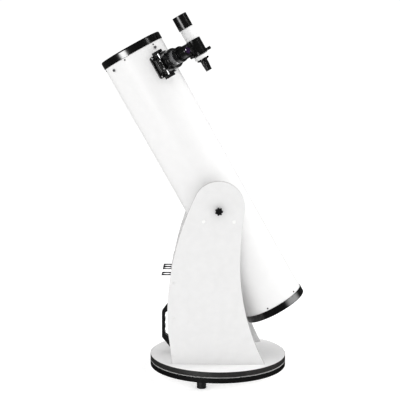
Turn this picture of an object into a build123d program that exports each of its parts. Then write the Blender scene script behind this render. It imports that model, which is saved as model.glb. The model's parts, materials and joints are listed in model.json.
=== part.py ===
from build123d import *
import os
from math import cos, hypot, radians, sin, sqrt

os.makedirs("parts", exist_ok=True)

# A solid-tube Newtonian telescope of 200 mm aperture on a laminated rocker box.
# Millimetres. The origin is on the floor under the azimuth bolt, +Z is up, +Y is the
# altitude axis, and the open end of the tube leans towards -X.

# ---- Driving dimensions -------------------------------------------------------------
PIVOT_Z = 632.0  # height of the altitude axis
TILT = 29.4  # lean of the tube from the vertical, degrees

# Base boards
BOARD_R = 255.0
BOARD_T = 18.75
BAND_T = 1.0  # edge banding
PAD_GAP = 3.5  # between the two round boards
FOOT_R = 17.0
FOOT_H = 27.0
FOOT_PLACE_R = 227.0
FOOT_ANGLE = 254.6
AZIMUTH_BOLT_R = 5.0

# Rocker box
SIDE_T = 15.0
SIDE_INNER = 142.0  # from the middle to a side board's inner face
SIDE_OUTER = SIDE_INNER + SIDE_T
FRONT_X = -163.0  # middle of the front board
FRONT_T = 15.0
FRONT_TOP = 430.0
SUPPORT_X = 54.25
SUPPORT_DROP = 38.6  # support cylinders below the altitude axis
SUPPORT_R = 13.5
RUN_GAP = 0.3  # between curved faces that move past each other
FIT_GAP = 0.05  # radial, in a running fit

# Tube
TUBE_R = 117.5
TUBE_WALL = 1.0
RING_R = 119.7
FRONT_END = 664.0  # along the tube from the altitude axis
FRONT_EDGE = 636.0
REAR_EDGE = -414.0
REAR_END = -441.0
SKIRT_R = 113.5  # inner skirt of the end rings
SPIDER_S = 616.5
FOCUSER_S = 549.0
FOCUSER_ANGLE = -45.0  # around the tube, from its +X towards +Y
MIRROR_R = 101.6
MIRROR_FACE = -375.0
MIRROR_T = 28.0
MIRROR_FOCUS = 1150.0

# Finder, beside the tube
FINDER_X = 212.0
FINDER_R = 24.5

# Focuser, along its own axis from the tube's axis
SADDLE_R = 121.5
SHAFT_OUT = 147.0
DRAW_R = 27.0
EYE_END = 261.0

# ---- Working planes -----------------------------------------------------------------
LEAN = radians(TILT)
TUBE = Plane(origin=(0, 0, PIVOT_Z), x_dir=(cos(LEAN), 0, sin(LEAN)), z_dir=(-sin(LEAN), 0, cos(LEAN)))
FINDER = Plane(origin=TUBE.from_local_coords((FINDER_X, 0, 0)), x_dir=TUBE.x_dir, z_dir=TUBE.z_dir)


def radial_plane(angle, s, r=0.0):
    """A plane that faces out of the tube at an angle around it, with its X up the tube."""
    across = (cos(radians(angle)), sin(radians(angle)))
    out = TUBE.from_local_coords((across[0], across[1], 0)) - TUBE.origin
    origin = TUBE.from_local_coords((r * across[0], r * across[1], s))
    return Plane(origin=origin, x_dir=TUBE.z_dir, z_dir=out)


FOCUS = radial_plane(FOCUSER_ANGLE, FOCUSER_S)


def side_plane(x, z, y, side):
    """A plane at (x, y, z) that faces inwards from side -1 (near) or +1 (far)."""
    return Plane(origin=(x, side * y, z), x_dir=(1, 0, 0), z_dir=(0, -side, 0))


# ---- Shapes used more than once -----------------------------------------------------
def screw_blank(shank_r, head_r, head_h, length, chamfered=0.3):
    """A screw whose head's underside is at z = 0 and whose shank runs up +Z."""
    with BuildPart() as blank:
        with BuildSketch():
            Circle(shank_r)
        extrude(amount=length)
        with BuildSketch():
            Circle(head_r)
        extrude(amount=-head_h)
        chamfer(blank.edges().filter_by(GeomType.CIRCLE).sort_by(Axis.Z)[0], chamfered)
    return blank.part


def lobed_knob(shank_r, shank_length, neck_r, neck_h, grip_r, grip_h, lobes):
    """A knob on a stud: the stud runs up +Z from z = 0, neck and lobed grip lie below."""
    lobe_r = 0.3 * grip_r
    with BuildPart() as knob:
        with BuildSketch():
            Circle(shank_r)
        extrude(amount=shank_length)
        with BuildSketch():
            Circle(neck_r)
        extrude(amount=-neck_h)
        with BuildSketch(Plane.XY.offset(-neck_h)):
            Circle(grip_r - 0.6 * lobe_r)
            with PolarLocations(grip_r - lobe_r, lobes):
                Circle(lobe_r)
        extrude(amount=-grip_h)
        chamfer(knob.faces().sort_by(Axis.Z)[0].edges(), 0.06 * grip_r)
    return knob.part


def thumbscrew(shank_r, shank_length, head_r, head_h):
    """A knurled thumbscrew: shank up +Z from z = 0, fluted head below."""
    flutes = 16
    with BuildPart() as screw:
        with BuildSketch():
            Circle(shank_r)
        extrude(amount=shank_length)
        with BuildSketch():
            Circle(head_r)
            with PolarLocations(head_r + 0.25, flutes):
                Circle(0.7, mode=Mode.SUBTRACT)
        extrude(amount=-head_h)
    return screw.part


def dome_point(radius, rise):
    """Half-way point of a round dome's profile, from its edge: radius and height."""
    curve = (radius**2 + rise**2) / (2 * rise)
    drop = curve - sqrt(curve**2 - radius**2 / 4)
    return radius / 2, rise - drop


def ring_profile(inner, outer, low, high):
    """A rectangle of a turned part: radii across, distance along the tube up."""
    with Locations(((inner + outer) / 2, (low + high) / 2)):
        Rectangle(outer - inner, high - low)


# ---- Ground board: stands still ---------------------------------------------------------
GROUND_LOW = FOOT_H
GROUND_TOP = GROUND_LOW + BOARD_T
TURN_LOW = GROUND_TOP + PAD_GAP
TURN_TOP = TURN_LOW + BOARD_T

FOOT_SCREW_SEAT = 8.0  # the screw's head is sunk this far into the foot
foot_screw = screw_blank(shank_r=2.5, head_r=4.5, head_h=3.0, length=30.0)
with BuildPart() as foot_screws:
    with Locations((0, 0, FOOT_SCREW_SEAT)):
        with PolarLocations(FOOT_PLACE_R, 3, start_angle=FOOT_ANGLE):
            add(foot_screw)
foot_screws.part.label = "foot_screws"
export_step(foot_screws.part, "parts/foot_screws.step")

with BuildPart() as feet:
    with BuildSketch():
        with PolarLocations(FOOT_PLACE_R, 3, start_angle=FOOT_ANGLE):
            Circle(FOOT_R)
            Circle(6.0, mode=Mode.SUBTRACT)
    extrude(amount=FOOT_SCREW_SEAT)
    with BuildSketch(Plane.XY.offset(FOOT_SCREW_SEAT)):
        with PolarLocations(FOOT_PLACE_R, 3, start_angle=FOOT_ANGLE):
            Circle(FOOT_R)
    extrude(amount=FOOT_H - FOOT_SCREW_SEAT)
    foot_rims = feet.faces().sort_by(Axis.Z)[:3].edges().filter_by(lambda e: e.radius > FOOT_R - 1)
    chamfer(foot_rims, 1.5)
    add(foot_screws.part, mode=Mode.SUBTRACT)
feet.part.label = "feet"
export_step(feet.part, "parts/feet.step")

with BuildPart() as ground_board:
    with BuildSketch(Plane.XY.offset(GROUND_LOW)):
        Circle(BOARD_R - BAND_T)
        Circle(AZIMUTH_BOLT_R, mode=Mode.SUBTRACT)
    extrude(amount=BOARD_T)
    add(foot_screws.part, mode=Mode.SUBTRACT)
ground_board.part.label = "ground_board"
export_step(ground_board.part, "parts/ground_board.step")

with BuildPart() as ground_edge_band:
    with BuildSketch(Plane.XY.offset(GROUND_LOW)):
        Circle(BOARD_R)
        Circle(BOARD_R - BAND_T, mode=Mode.SUBTRACT)
    extrude(amount=BOARD_T)
ground_edge_band.part.label = "ground_edge_band"
export_step(ground_edge_band.part, "parts/ground_edge_band.step")

PAD_T = PAD_GAP - 0.1
with BuildPart() as azimuth_pads:
    with BuildSketch(Plane.XY.offset(GROUND_TOP)):
        with PolarLocations(FOOT_PLACE_R - 30, 3, start_angle=FOOT_ANGLE):
            RectangleRounded(24, 40, 3)
    extrude(amount=PAD_T)
azimuth_pads.part.label = "azimuth_pads"
export_step(azimuth_pads.part, "parts/azimuth_pads.step")

BOLT_HEAD_H = 6.5
HEX_R = 9.8
NUT_H = 9.0
WASHER_R = 14.0
WASHER_T = 2.0
WASHER_GAP = 0.1
with BuildPart() as azimuth_bolt:
    with BuildSketch(Plane.XY.offset(GROUND_LOW - BOLT_HEAD_H)):
        RegularPolygon(HEX_R, 6)
    extrude(amount=BOLT_HEAD_H)
    with BuildSketch(Plane.XY.offset(GROUND_LOW)):
        Circle(AZIMUTH_BOLT_R)
    extrude(amount=TURN_TOP + NUT_H + 5 - GROUND_LOW)
    chamfer(azimuth_bolt.edges().filter_by(GeomType.CIRCLE).sort_by(Axis.Z)[-1], 1.0)
azimuth_bolt.part.label = "azimuth_bolt"
export_step(azimuth_bolt.part, "parts/azimuth_bolt.step")

with BuildPart() as azimuth_nut:
    with BuildSketch(Plane.XY.offset(TURN_TOP + WASHER_GAP)):
        Circle(WASHER_R)
        Circle(AZIMUTH_BOLT_R, mode=Mode.SUBTRACT)
    extrude(amount=WASHER_T)
    with BuildSketch(Plane.XY.offset(TURN_TOP + WASHER_GAP + WASHER_T)):
        RegularPolygon(HEX_R, 6)
        Circle(AZIMUTH_BOLT_R, mode=Mode.SUBTRACT)
    extrude(amount=NUT_H - WASHER_T)
azimuth_nut.part.label = "azimuth_nut"
export_step(azimuth_nut.part, "parts/azimuth_nut.step")

# ---- Rocker: turns on the azimuth bolt ------------------------------------------------
BUSH_R = 8.0
BOARD_SCREW_LENGTH = 50.0
BOARD_SCREW_HEAD = 3.0
board_screw = screw_blank(shank_r=2.3, head_r=3.6, head_h=BOARD_SCREW_HEAD, length=BOARD_SCREW_LENGTH)
SIDE_MIDDLE = SIDE_INNER + SIDE_T / 2
SIDE_SCREW_Z = (98, 240, 370)
FLOOR_SCREW_X = (-128, 0, 128)
FLOOR_SCREW_Y = 70
floor_screw_z = TURN_LOW + BOARD_SCREW_HEAD
board_screw_places = []
for side in (-1, 1):
    for z in SIDE_SCREW_Z:
        board_screw_places.append(side_plane(FRONT_X, z, SIDE_OUTER - BOARD_SCREW_HEAD, side))
    for x in FLOOR_SCREW_X:
        board_screw_places.append(Plane(origin=(x, side * SIDE_MIDDLE, floor_screw_z)))
    board_screw_places.append(Plane(origin=(FRONT_X, side * FLOOR_SCREW_Y, floor_screw_z)))
with BuildPart() as board_screws:
    with Locations(*board_screw_places):
        add(board_screw)
board_screws.part.label = "board_screws"
export_step(board_screws.part, "parts/board_screws.step")

with BuildPart() as turntable_board:
    with BuildSketch(Plane.XY.offset(TURN_LOW)):
        Circle(BOARD_R - BAND_T)
        Circle(BUSH_R, mode=Mode.SUBTRACT)
    extrude(amount=BOARD_T)
    add(board_screws.part, mode=Mode.SUBTRACT)
turntable_board.part.label = "turntable_board"
export_step(turntable_board.part, "parts/turntable_board.step")

with BuildPart() as turntable_edge_band:
    with BuildSketch(Plane.XY.offset(TURN_LOW)):
        Circle(BOARD_R)
        Circle(BOARD_R - BAND_T, mode=Mode.SUBTRACT)
    extrude(amount=BOARD_T)
turntable_edge_band.part.label = "turntable_edge_band"
export_step(turntable_edge_band.part, "parts/turntable_edge_band.step")

with BuildPart() as azimuth_bush:
    with BuildSketch(Plane.XY.offset(TURN_LOW)):
        Circle(BUSH_R)
        Circle(AZIMUTH_BOLT_R + FIT_GAP, mode=Mode.SUBTRACT)
    extrude(amount=BOARD_T)
azimuth_bush.part.label = "azimuth_bush"
export_step(azimuth_bush.part, "parts/azimuth_bush.step")

# Handle, rack and support cylinders are held by the same short screws.
FITTING_SCREW_LENGTH = 22.0
FITTING_HEAD_H = 2.6
FITTING_HEAD_R = 4.6
CAP_RECESS = 4.0
HANDLE_FOOT_T = 9.0
RACK_FLANGE_T = 1.5
FRONT_FACE = FRONT_X - FRONT_T / 2
HANDLE_SCREW_Y = 9.0
HANDLE_SCREW_Z = (97.0, 264.0)
RACK_Z = 389.0
RACK_SCREW_Y = (-40.0, 48.75)
SUPPORT_Z = PIVOT_Z - SUPPORT_DROP
fitting_screw = screw_blank(2.0, FITTING_HEAD_R, FITTING_HEAD_H, FITTING_SCREW_LENGTH)


def front_plane(y, z, out):
    """A plane that faces +X, out in front of the front board's outer face."""
    return Plane(origin=(FRONT_FACE - out, y, z), x_dir=(0, 1, 0), z_dir=(1, 0, 0))


fitting_screw_places = []
handle_screw_planes = []
for side in (-1, 1):
    for x in (-SUPPORT_X, SUPPORT_X):
        fitting_screw_places.append(side_plane(x, SUPPORT_Z, SIDE_OUTER - CAP_RECESS, side))
    for z in HANDLE_SCREW_Z:
        handle_screw_planes.append(front_plane(side * HANDLE_SCREW_Y, z, HANDLE_FOOT_T))
fitting_screw_places += handle_screw_planes
for y in RACK_SCREW_Y:
    fitting_screw_places.append(front_plane(y, RACK_Z - 14, RACK_FLANGE_T))
with BuildPart() as fitting_screws:
    with Locations(*fitting_screw_places):
        add(fitting_screw)
fitting_screws.part.label = "fitting_screws"
export_step(fitting_screws.part, "parts/fitting_screws.step")

# Outline of a side board: a round head, a hollow back edge, a swelling front edge.
HEAD_Z = PIVOT_Z + 14
HEAD_R = 92.5
HEAD_BACK_ANGLE = -8.0
HEAD_FRONT_ANGLE = 154.0
WAIST = (77.0, 440.0)
BACK_FOOT = (169.0, TURN_TOP)
FRONT_SWELL = (-184.8, 270.0)
FRONT_KNEE = (-184.8, 205.0)
FRONT_FOOT = (-167.0, TURN_TOP)
PIVOT_HOLE_R = 4.6
CAP_SEAT_R = 5.0


def head_point(angle):
    return (HEAD_R * cos(radians(angle)), HEAD_Z + HEAD_R * sin(radians(angle)))


def side_board(side):
    """A side board with its pivot hole, screw holes and sunk screw seats."""
    outer_face = Plane.XZ.offset(-side * SIDE_INNER + (0 if side < 0 else -SIDE_T))
    back = head_point(HEAD_BACK_ANGLE)
    front = head_point(HEAD_FRONT_ANGLE)
    back_slope = (sin(radians(HEAD_BACK_ANGLE)), -cos(radians(HEAD_BACK_ANGLE)))
    front_slope = (-sin(radians(HEAD_FRONT_ANGLE)), cos(radians(HEAD_FRONT_ANGLE)))
    with BuildPart() as board:
        with BuildSketch(outer_face):
            with BuildLine():
                CenterArc((0, HEAD_Z), HEAD_R, HEAD_BACK_ANGLE, HEAD_FRONT_ANGLE - HEAD_BACK_ANGLE)
                TangentArc(back, WAIST, tangent=back_slope)
                TangentArc(WAIST, BACK_FOOT, tangent=(0, -1))
                Line(BACK_FOOT, FRONT_FOOT)
                Line(FRONT_FOOT, FRONT_KNEE)
                Line(FRONT_KNEE, FRONT_SWELL)
                TangentArc(front, FRONT_SWELL, tangent=front_slope)
            make_face()
            with Locations((0, PIVOT_Z)):
                Circle(PIVOT_HOLE_R, mode=Mode.SUBTRACT)
        extrude(amount=SIDE_T)
        with Locations(*[side_plane(x, SUPPORT_Z, SIDE_OUTER, side) for x in (-SUPPORT_X, SUPPORT_X)]):
            Cylinder(CAP_SEAT_R, 2 * CAP_RECESS, mode=Mode.SUBTRACT)
        add(board_screws.part, mode=Mode.SUBTRACT)
        add(fitting_screws.part, mode=Mode.SUBTRACT)
    return board.part


side_board_near = side_board(-1)
side_board_near.label = "side_board_near"
export_step(side_board_near, "parts/side_board_near.step")

side_board_far = side_board(1)
side_board_far.label = "side_board_far"
export_step(side_board_far, "parts/side_board_far.step")

with BuildPart() as front_board:
    with BuildSketch(Plane.XY.offset(TURN_TOP)):
        with Locations((FRONT_X, 0)):
            Rectangle(FRONT_T, 2 * SIDE_INNER)
    extrude(amount=FRONT_TOP - TURN_TOP)
    add(board_screws.part, mode=Mode.SUBTRACT)
    add(fitting_screws.part, mode=Mode.SUBTRACT)
front_board.part.label = "front_board"
export_step(front_board.part, "parts/front_board.step")

SUPPORT_LENGTH = 16.5
support_places = []
for side in (-1, 1):
    for x in (-SUPPORT_X, SUPPORT_X):
        support_places.append(side_plane(x, SUPPORT_Z, SIDE_INNER, side))
with BuildPart() as support_cylinders:
    with Locations(*support_places):
        Cylinder(SUPPORT_R, SUPPORT_LENGTH, align=(Align.CENTER, Align.CENTER, Align.MIN))
    inner_rims = support_cylinders.edges().filter_by(GeomType.CIRCLE)
    chamfer(inner_rims.filter_by(lambda e: abs(e.center().Y) < SIDE_INNER - 1), 1.0)
    add(fitting_screws.part, mode=Mode.SUBTRACT)
support_cylinders.part.label = "support_cylinders"
export_step(support_cylinders.part, "parts/support_cylinders.step")

CAP_R = 6.2
CAP_T = 1.2
cap_peg = CAP_RECESS - FITTING_HEAD_H
cap_places = []
for side in (-1, 1):
    for x in (-SUPPORT_X, SUPPORT_X):
        cap_places.append(side_plane(x, SUPPORT_Z, SIDE_OUTER, side))
with BuildPart() as screw_caps:
    with Locations(*cap_places):
        Cylinder(CAP_R, CAP_T, align=(Align.CENTER, Align.CENTER, Align.MAX))
        Cylinder(4.8, cap_peg, align=(Align.CENTER, Align.CENTER, Align.MIN))
    cap_rims = screw_caps.edges().filter_by(lambda e: abs(e.center().Y) > SIDE_OUTER + 1)
    fillet(cap_rims, 0.8)
screw_caps.part.label = "screw_caps"
export_step(screw_caps.part, "parts/screw_caps.step")

# Carry handle: a grip between two splayed arms, scalloped for the fingers.
GRIP_OUT = 40.8  # grip's outer face, out from the front board
GRIP_IN = 27.5
GRIP_TOP = 227.0
GRIP_LOW = 130.0
GRIP_OPEN_TOP = 224.0
GRIP_OPEN_LOW = 140.0
ARM_ELBOW = 19.5  # where an arm's inner side bends, out from the front board
ARM_ELBOW_TOP = 230.0
ARM_ELBOW_LOW = 134.5
HANDLE_TOP = 278.0
HANDLE_BOTTOM = 82.0
HANDLE_W = 32.0
FINGER_R = 12.0
FINGER_PITCH = 26.5


def front_xz(out, z):
    return (FRONT_FACE - out, z)


with BuildPart() as carry_handle:
    with BuildSketch(Plane.XZ.offset(-HANDLE_W / 2)):
        with BuildLine():
            Polyline(
                front_xz(0, HANDLE_TOP),
                front_xz(3, HANDLE_TOP),
                front_xz(GRIP_OUT, GRIP_TOP),
                front_xz(GRIP_OUT, GRIP_LOW),
                front_xz(3, HANDLE_BOTTOM),
                front_xz(0, HANDLE_BOTTOM),
                front_xz(0, HANDLE_BOTTOM + 32),
                front_xz(HANDLE_FOOT_T, HANDLE_BOTTOM + 32),
                front_xz(ARM_ELBOW, ARM_ELBOW_LOW),
                front_xz(GRIP_IN, GRIP_OPEN_LOW),
                front_xz(GRIP_IN, GRIP_OPEN_TOP),
                front_xz(ARM_ELBOW, ARM_ELBOW_TOP),
                front_xz(HANDLE_FOOT_T, HANDLE_TOP - 32),
                front_xz(0, HANDLE_TOP - 32),
                close=True,
            )
        make_face()
        grip_middle = (GRIP_OPEN_TOP + GRIP_OPEN_LOW) / 2
        for step in (-1, 0, 1):
            with Locations(front_xz(GRIP_IN - FINGER_R + 2.2, grip_middle + step * FINGER_PITCH)):
                Circle(FINGER_R, mode=Mode.SUBTRACT)
    extrude(amount=HANDLE_W)
    grip_edges = carry_handle.edges().filter_by(Axis.Z).filter_by(lambda e: e.center().X < FRONT_FACE - 35)
    fillet(grip_edges, 5.0)
    with Locations(*handle_screw_planes):
        Cylinder(FITTING_HEAD_R + 0.5, 40, align=(Align.CENTER, Align.CENTER, Align.MAX), mode=Mode.SUBTRACT)
    add(fitting_screws.part, mode=Mode.SUBTRACT)
carry_handle.part.label = "carry_handle"
export_step(carry_handle.part, "parts/carry_handle.step")

# Eyepiece rack: a shelf with three round seats and an open bay between them.
RACK_DEPTH = 36.0
RACK_T = 3.0
RACK_LIP_H = 5.0
RACK_LIP_T = 1.5
RACK_SEAT_R = 16.2
RACK_SEAT_OUT = 18.5  # seats' middle, out from the front board
RACK_SEATS = (70.5, 27.0, -78.5)
RACK_FAR_ARM = (50.5, 91.0)  # middle and length of the part with two seats
RACK_NEAR_ARM = (-78.5, 49.0)
with BuildPart() as eyepiece_rack:
    rack_front = FRONT_FACE - RACK_DEPTH
    with BuildSketch(Plane.XY.offset(RACK_Z - RACK_T)):
        for middle, length in (RACK_FAR_ARM, RACK_NEAR_ARM):
            with Locations((FRONT_FACE - RACK_DEPTH / 2, middle)):
                Rectangle(RACK_DEPTH, length)
        with Locations(*[(FRONT_FACE - RACK_SEAT_OUT, y) for y in RACK_SEATS]):
            Circle(RACK_SEAT_R, mode=Mode.SUBTRACT)
    extrude(amount=RACK_T)
    with BuildSketch(Plane.XY.offset(RACK_Z - RACK_LIP_H)):
        for middle, length in (RACK_FAR_ARM, RACK_NEAR_ARM):
            with Locations((rack_front - RACK_LIP_T / 2, middle)):
                Rectangle(RACK_LIP_T, length)
    extrude(amount=RACK_LIP_H)
    with BuildSketch(Plane.YZ.offset(FRONT_FACE)):
        with Locations((-3.5, RACK_Z - 11)):
            Rectangle(199, 22)
    extrude(amount=-RACK_FLANGE_T)
    add(fitting_screws.part, mode=Mode.SUBTRACT)
eyepiece_rack.part.label = "eyepiece_rack"
export_step(eyepiece_rack.part, "parts/eyepiece_rack.step")

# ---- Tube: tilts on the altitude axis ----------------------------------------------------
RING_SCREWS = ((FRONT_EDGE - 7, 15), (REAR_EDGE + 7, 19))  # place along the tube and first angle
SADDLE_HALF_ANGLE = 21.5
SADDLE_HALF_LENGTH = 42.0
SHOE_S = 545.0
tube_screw = screw_blank(shank_r=1.75, head_r=3.0, head_h=1.8, length=7.0, chamfered=0.4)
tube_screw_places = []
for s, first_angle in RING_SCREWS:
    for count in range(6):
        tube_screw_places.append(radial_plane(first_angle + 60 * count, s, TUBE_R))
for s in (FOCUSER_S - 36, FOCUSER_S + 36):
    for turn in (-17.5, 17.5):
        tube_screw_places.append(radial_plane(FOCUSER_ANGLE + turn, s, SADDLE_R))
for s in (SHOE_S - 18, SHOE_S + 18):
    tube_screw_places.append(radial_plane(0, s, SADDLE_R))
with BuildPart() as tube_screws:
    with Locations(*[Location(place) * Rot(180, 0, 0) for place in tube_screw_places]):
        add(tube_screw)
tube_screws.part.label = "tube_screws"
export_step(tube_screws.part, "parts/tube_screws.step")

# Spider: hub, four thin vanes, and a stud at each vane's end.
HUB_R = 15.0
HUB_LOW = 601.0
HUB_TOP = 631.0
VANE_T = 1.0
VANE_LOW = 604.0
VANE_TOP = 629.0
VANE_OUT = 110.2
STUD_R = 2.0
SECONDARY_SCREW_R = 1.6
SECONDARY_SCREW_PLACE_R = 9.0
HOLDER_TOP = 592.0

secondary_screw = screw_blank(shank_r=SECONDARY_SCREW_R, head_r=3.0, head_h=2.5, length=HUB_TOP - HOLDER_TOP)
with BuildPart() as secondary_screws:
    with Locations(TUBE.offset(HUB_TOP)):
        with PolarLocations(SECONDARY_SCREW_PLACE_R, 3, start_angle=90):
            with Locations(Rot(180, 0, 0)):
                add(secondary_screw)
secondary_screws.part.label = "secondary_screws"
export_step(secondary_screws.part, "parts/secondary_screws.step")

with BuildPart() as spider:
    with BuildSketch(TUBE.offset(HUB_LOW)):
        Circle(HUB_R)
    extrude(amount=HUB_TOP - HUB_LOW)
    with BuildSketch(TUBE.offset(VANE_LOW)):
        with PolarLocations(0, 4, start_angle=45):
            with Locations((VANE_OUT / 2, 0)):
                Rectangle(VANE_OUT, VANE_T)
    extrude(amount=VANE_TOP - VANE_LOW)
    with Locations(*[radial_plane(45 + 90 * count, SPIDER_S, VANE_OUT - 6) for count in range(4)]):
        Cylinder(STUD_R, SADDLE_R - VANE_OUT + 6, align=(Align.CENTER, Align.CENTER, Align.MIN))
    add(secondary_screws.part, mode=Mode.SUBTRACT)
spider.part.label = "spider"
export_step(spider.part, "parts/spider.step")

with BuildPart() as spider_nuts:
    with Locations(*[radial_plane(45 + 90 * count, SPIDER_S, TUBE_R) for count in range(4)]):
        Cylinder(5.0, 5.0, align=(Align.CENTER, Align.CENTER, Align.MIN))
    with Locations(*[radial_plane(45 + 90 * count, SPIDER_S, TUBE_R) for count in range(4)]):
        Cylinder(STUD_R, 12, mode=Mode.SUBTRACT)
spider_nuts.part.label = "spider_nuts"
export_step(spider_nuts.part, "parts/spider_nuts.step")

# Secondary: an oval flat at 45 degrees that looks down the tube and out through the focuser.
SECONDARY_R = 23.5
SECONDARY_T = 9.0
focus_out = FOCUS.z_dir
flat_normal = (focus_out - TUBE.z_dir).normalized()
flat_front = Plane(origin=FOCUS.origin, z_dir=flat_normal)
flat_back = flat_front.offset(-SECONDARY_T)
with BuildPart() as secondary_mirror:
    with BuildSketch(TUBE.offset(FOCUSER_S - 60)):
        Circle(SECONDARY_R)
    extrude(amount=120)
    split(bisect_by=flat_front, keep=Keep.BOTTOM)
    split(bisect_by=flat_back, keep=Keep.TOP)
secondary_mirror.part.label = "secondary_mirror"
export_step(secondary_mirror.part, "parts/secondary_mirror.step")

with BuildPart() as secondary_holder:
    with BuildSketch(TUBE.offset(FOCUSER_S - 60)):
        Circle(SECONDARY_R - 1.5)
    extrude(amount=HOLDER_TOP - FOCUSER_S + 60)
    split(bisect_by=flat_back, keep=Keep.BOTTOM)
    with BuildSketch(TUBE.offset(HOLDER_TOP)):
        Circle(4)
    extrude(amount=HUB_LOW - HOLDER_TOP)
secondary_holder.part.label = "secondary_holder"
export_step(secondary_holder.part, "parts/secondary_holder.step")

# End rings: an outer band, a capped end and a skirt inside the tube.
TUBE_TOP = FRONT_END - 9
TUBE_BOTTOM = REAR_END + 5
TURN_AXIS = Axis(TUBE.origin, TUBE.z_dir)
TUBE_SECTION = Plane(origin=TUBE.origin, x_dir=TUBE.x_dir, z_dir=(0, -1, 0))
with BuildPart() as front_ring:
    with BuildSketch(TUBE_SECTION):
        ring_profile(TUBE_R, RING_R, FRONT_EDGE, TUBE_TOP)
        ring_profile(SKIRT_R, RING_R, TUBE_TOP, FRONT_END)
        ring_profile(SKIRT_R, TUBE_R - TUBE_WALL, FRONT_EDGE - 15, TUBE_TOP)
    revolve(axis=TURN_AXIS)
    end_rims = front_ring.edges().filter_by(GeomType.CIRCLE).sort_by(lambda e: e.radius)
    outer_rims = end_rims.filter_by(lambda e: e.radius > RING_R - 0.01)
    fillet(outer_rims.sort_by(Axis.Z)[-1], 5.5)
    add(tube_screws.part, mode=Mode.SUBTRACT)
front_ring.part.label = "front_ring"
export_step(front_ring.part, "parts/front_ring.step")

with BuildPart() as rear_ring:
    with BuildSketch(TUBE_SECTION):
        ring_profile(TUBE_R, RING_R, TUBE_BOTTOM, REAR_EDGE)
        ring_profile(SKIRT_R, RING_R, REAR_END, TUBE_BOTTOM)
        ring_profile(SKIRT_R, TUBE_R - TUBE_WALL, TUBE_BOTTOM, REAR_EDGE + 15)
    revolve(axis=TURN_AXIS)
    outer_rims = rear_ring.edges().filter_by(GeomType.CIRCLE).filter_by(lambda e: e.radius > RING_R - 0.01)
    fillet(outer_rims.sort_by(Axis.Z)[0], 3.0)
    add(tube_screws.part, mode=Mode.SUBTRACT)
rear_ring.part.label = "rear_ring"
export_step(rear_ring.part, "parts/rear_ring.step")

FOCUSER_HOLE_R = 31.0
with BuildPart() as tube_shell:
    with BuildSketch(TUBE.offset(TUBE_BOTTOM)):
        Circle(TUBE_R)
        Circle(TUBE_R - TUBE_WALL, mode=Mode.SUBTRACT)
    extrude(amount=TUBE_TOP - TUBE_BOTTOM)
    with BuildSketch(FOCUS.offset(90)):
        Circle(FOCUSER_HOLE_R)
    extrude(amount=40, mode=Mode.SUBTRACT)
    add(tube_screws.part, mode=Mode.SUBTRACT)
    add(spider.part, mode=Mode.SUBTRACT)
tube_shell.part.label = "tube_shell"
export_step(tube_shell.part, "parts/tube_shell.step")

# Altitude hubs: moulded bosses that ride on the support cylinders.
HUB_DISC_R = hypot(SUPPORT_X, SUPPORT_DROP) - SUPPORT_R - RUN_GAP
HUB_FLANGE_R = 60.0
HUB_FLANGE_Y = 124.0
HUB_FACE_Y = SIDE_INNER - 0.6
HUB_ROOT_Y = 95.0  # the flange starts inside the tube and is cut back to it
HUB_RECESS_R = (16.0, 44.0)
HUB_RECESS_DEPTH = 6.0
PIVOT_BOLT_R = 4.0
PIVOT_BORE_DEPTH = 22.0


def altitude_hub(side):
    """A hub with a saddle flange on the tube and a round running disc."""
    with BuildPart() as hub:
        with BuildSketch(side_plane(0, PIVOT_Z, HUB_ROOT_Y, side)):
            Circle(HUB_FLANGE_R)
        extrude(amount=HUB_ROOT_Y - HUB_FLANGE_Y)
        with BuildSketch(side_plane(0, PIVOT_Z, HUB_FLANGE_Y, side)):
            Circle(HUB_DISC_R)
        extrude(amount=HUB_FLANGE_Y - HUB_FACE_Y)
        with BuildSketch(side_plane(0, PIVOT_Z, HUB_FACE_Y, side)):
            Circle(HUB_RECESS_R[1])
            Circle(HUB_RECESS_R[0], mode=Mode.SUBTRACT)
        extrude(amount=HUB_RECESS_DEPTH, mode=Mode.SUBTRACT)
        with BuildSketch(TUBE.offset(-90)):
            Circle(TUBE_R)
        extrude(amount=180, mode=Mode.SUBTRACT)
        with BuildSketch(side_plane(0, PIVOT_Z, HUB_FACE_Y, side)):
            Circle(PIVOT_BOLT_R + FIT_GAP)
        extrude(amount=PIVOT_BORE_DEPTH, mode=Mode.SUBTRACT)
    return hub.part


altitude_hub_near = altitude_hub(-1)
altitude_hub_near.label = "altitude_hub_near"
export_step(altitude_hub_near, "parts/altitude_hub_near.step")

altitude_hub_far = altitude_hub(1)
altitude_hub_far.label = "altitude_hub_far"
export_step(altitude_hub_far, "parts/altitude_hub_far.step")

KNOB_STAND = 1.0  # the knob's neck stands this far off the side board
knob_blank = lobed_knob(
    shank_r=PIVOT_BOLT_R,
    shank_length=KNOB_STAND + SIDE_OUTER - HUB_FACE_Y + 20,
    neck_r=8.5,
    neck_h=5.0,
    grip_r=14.5,
    grip_h=16.0,
    lobes=7,
)
with BuildPart() as tension_knob_near:
    with Locations(side_plane(0, PIVOT_Z, SIDE_OUTER + KNOB_STAND, -1)):
        add(knob_blank)
tension_knob_near.part.label = "tension_knob_near"
export_step(tension_knob_near.part, "parts/tension_knob_near.step")

with BuildPart() as tension_knob_far:
    with Locations(side_plane(0, PIVOT_Z, SIDE_OUTER + KNOB_STAND, 1)):
        add(knob_blank)
tension_knob_far.part.label = "tension_knob_far"
export_step(tension_knob_far.part, "parts/tension_knob_far.step")

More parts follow.
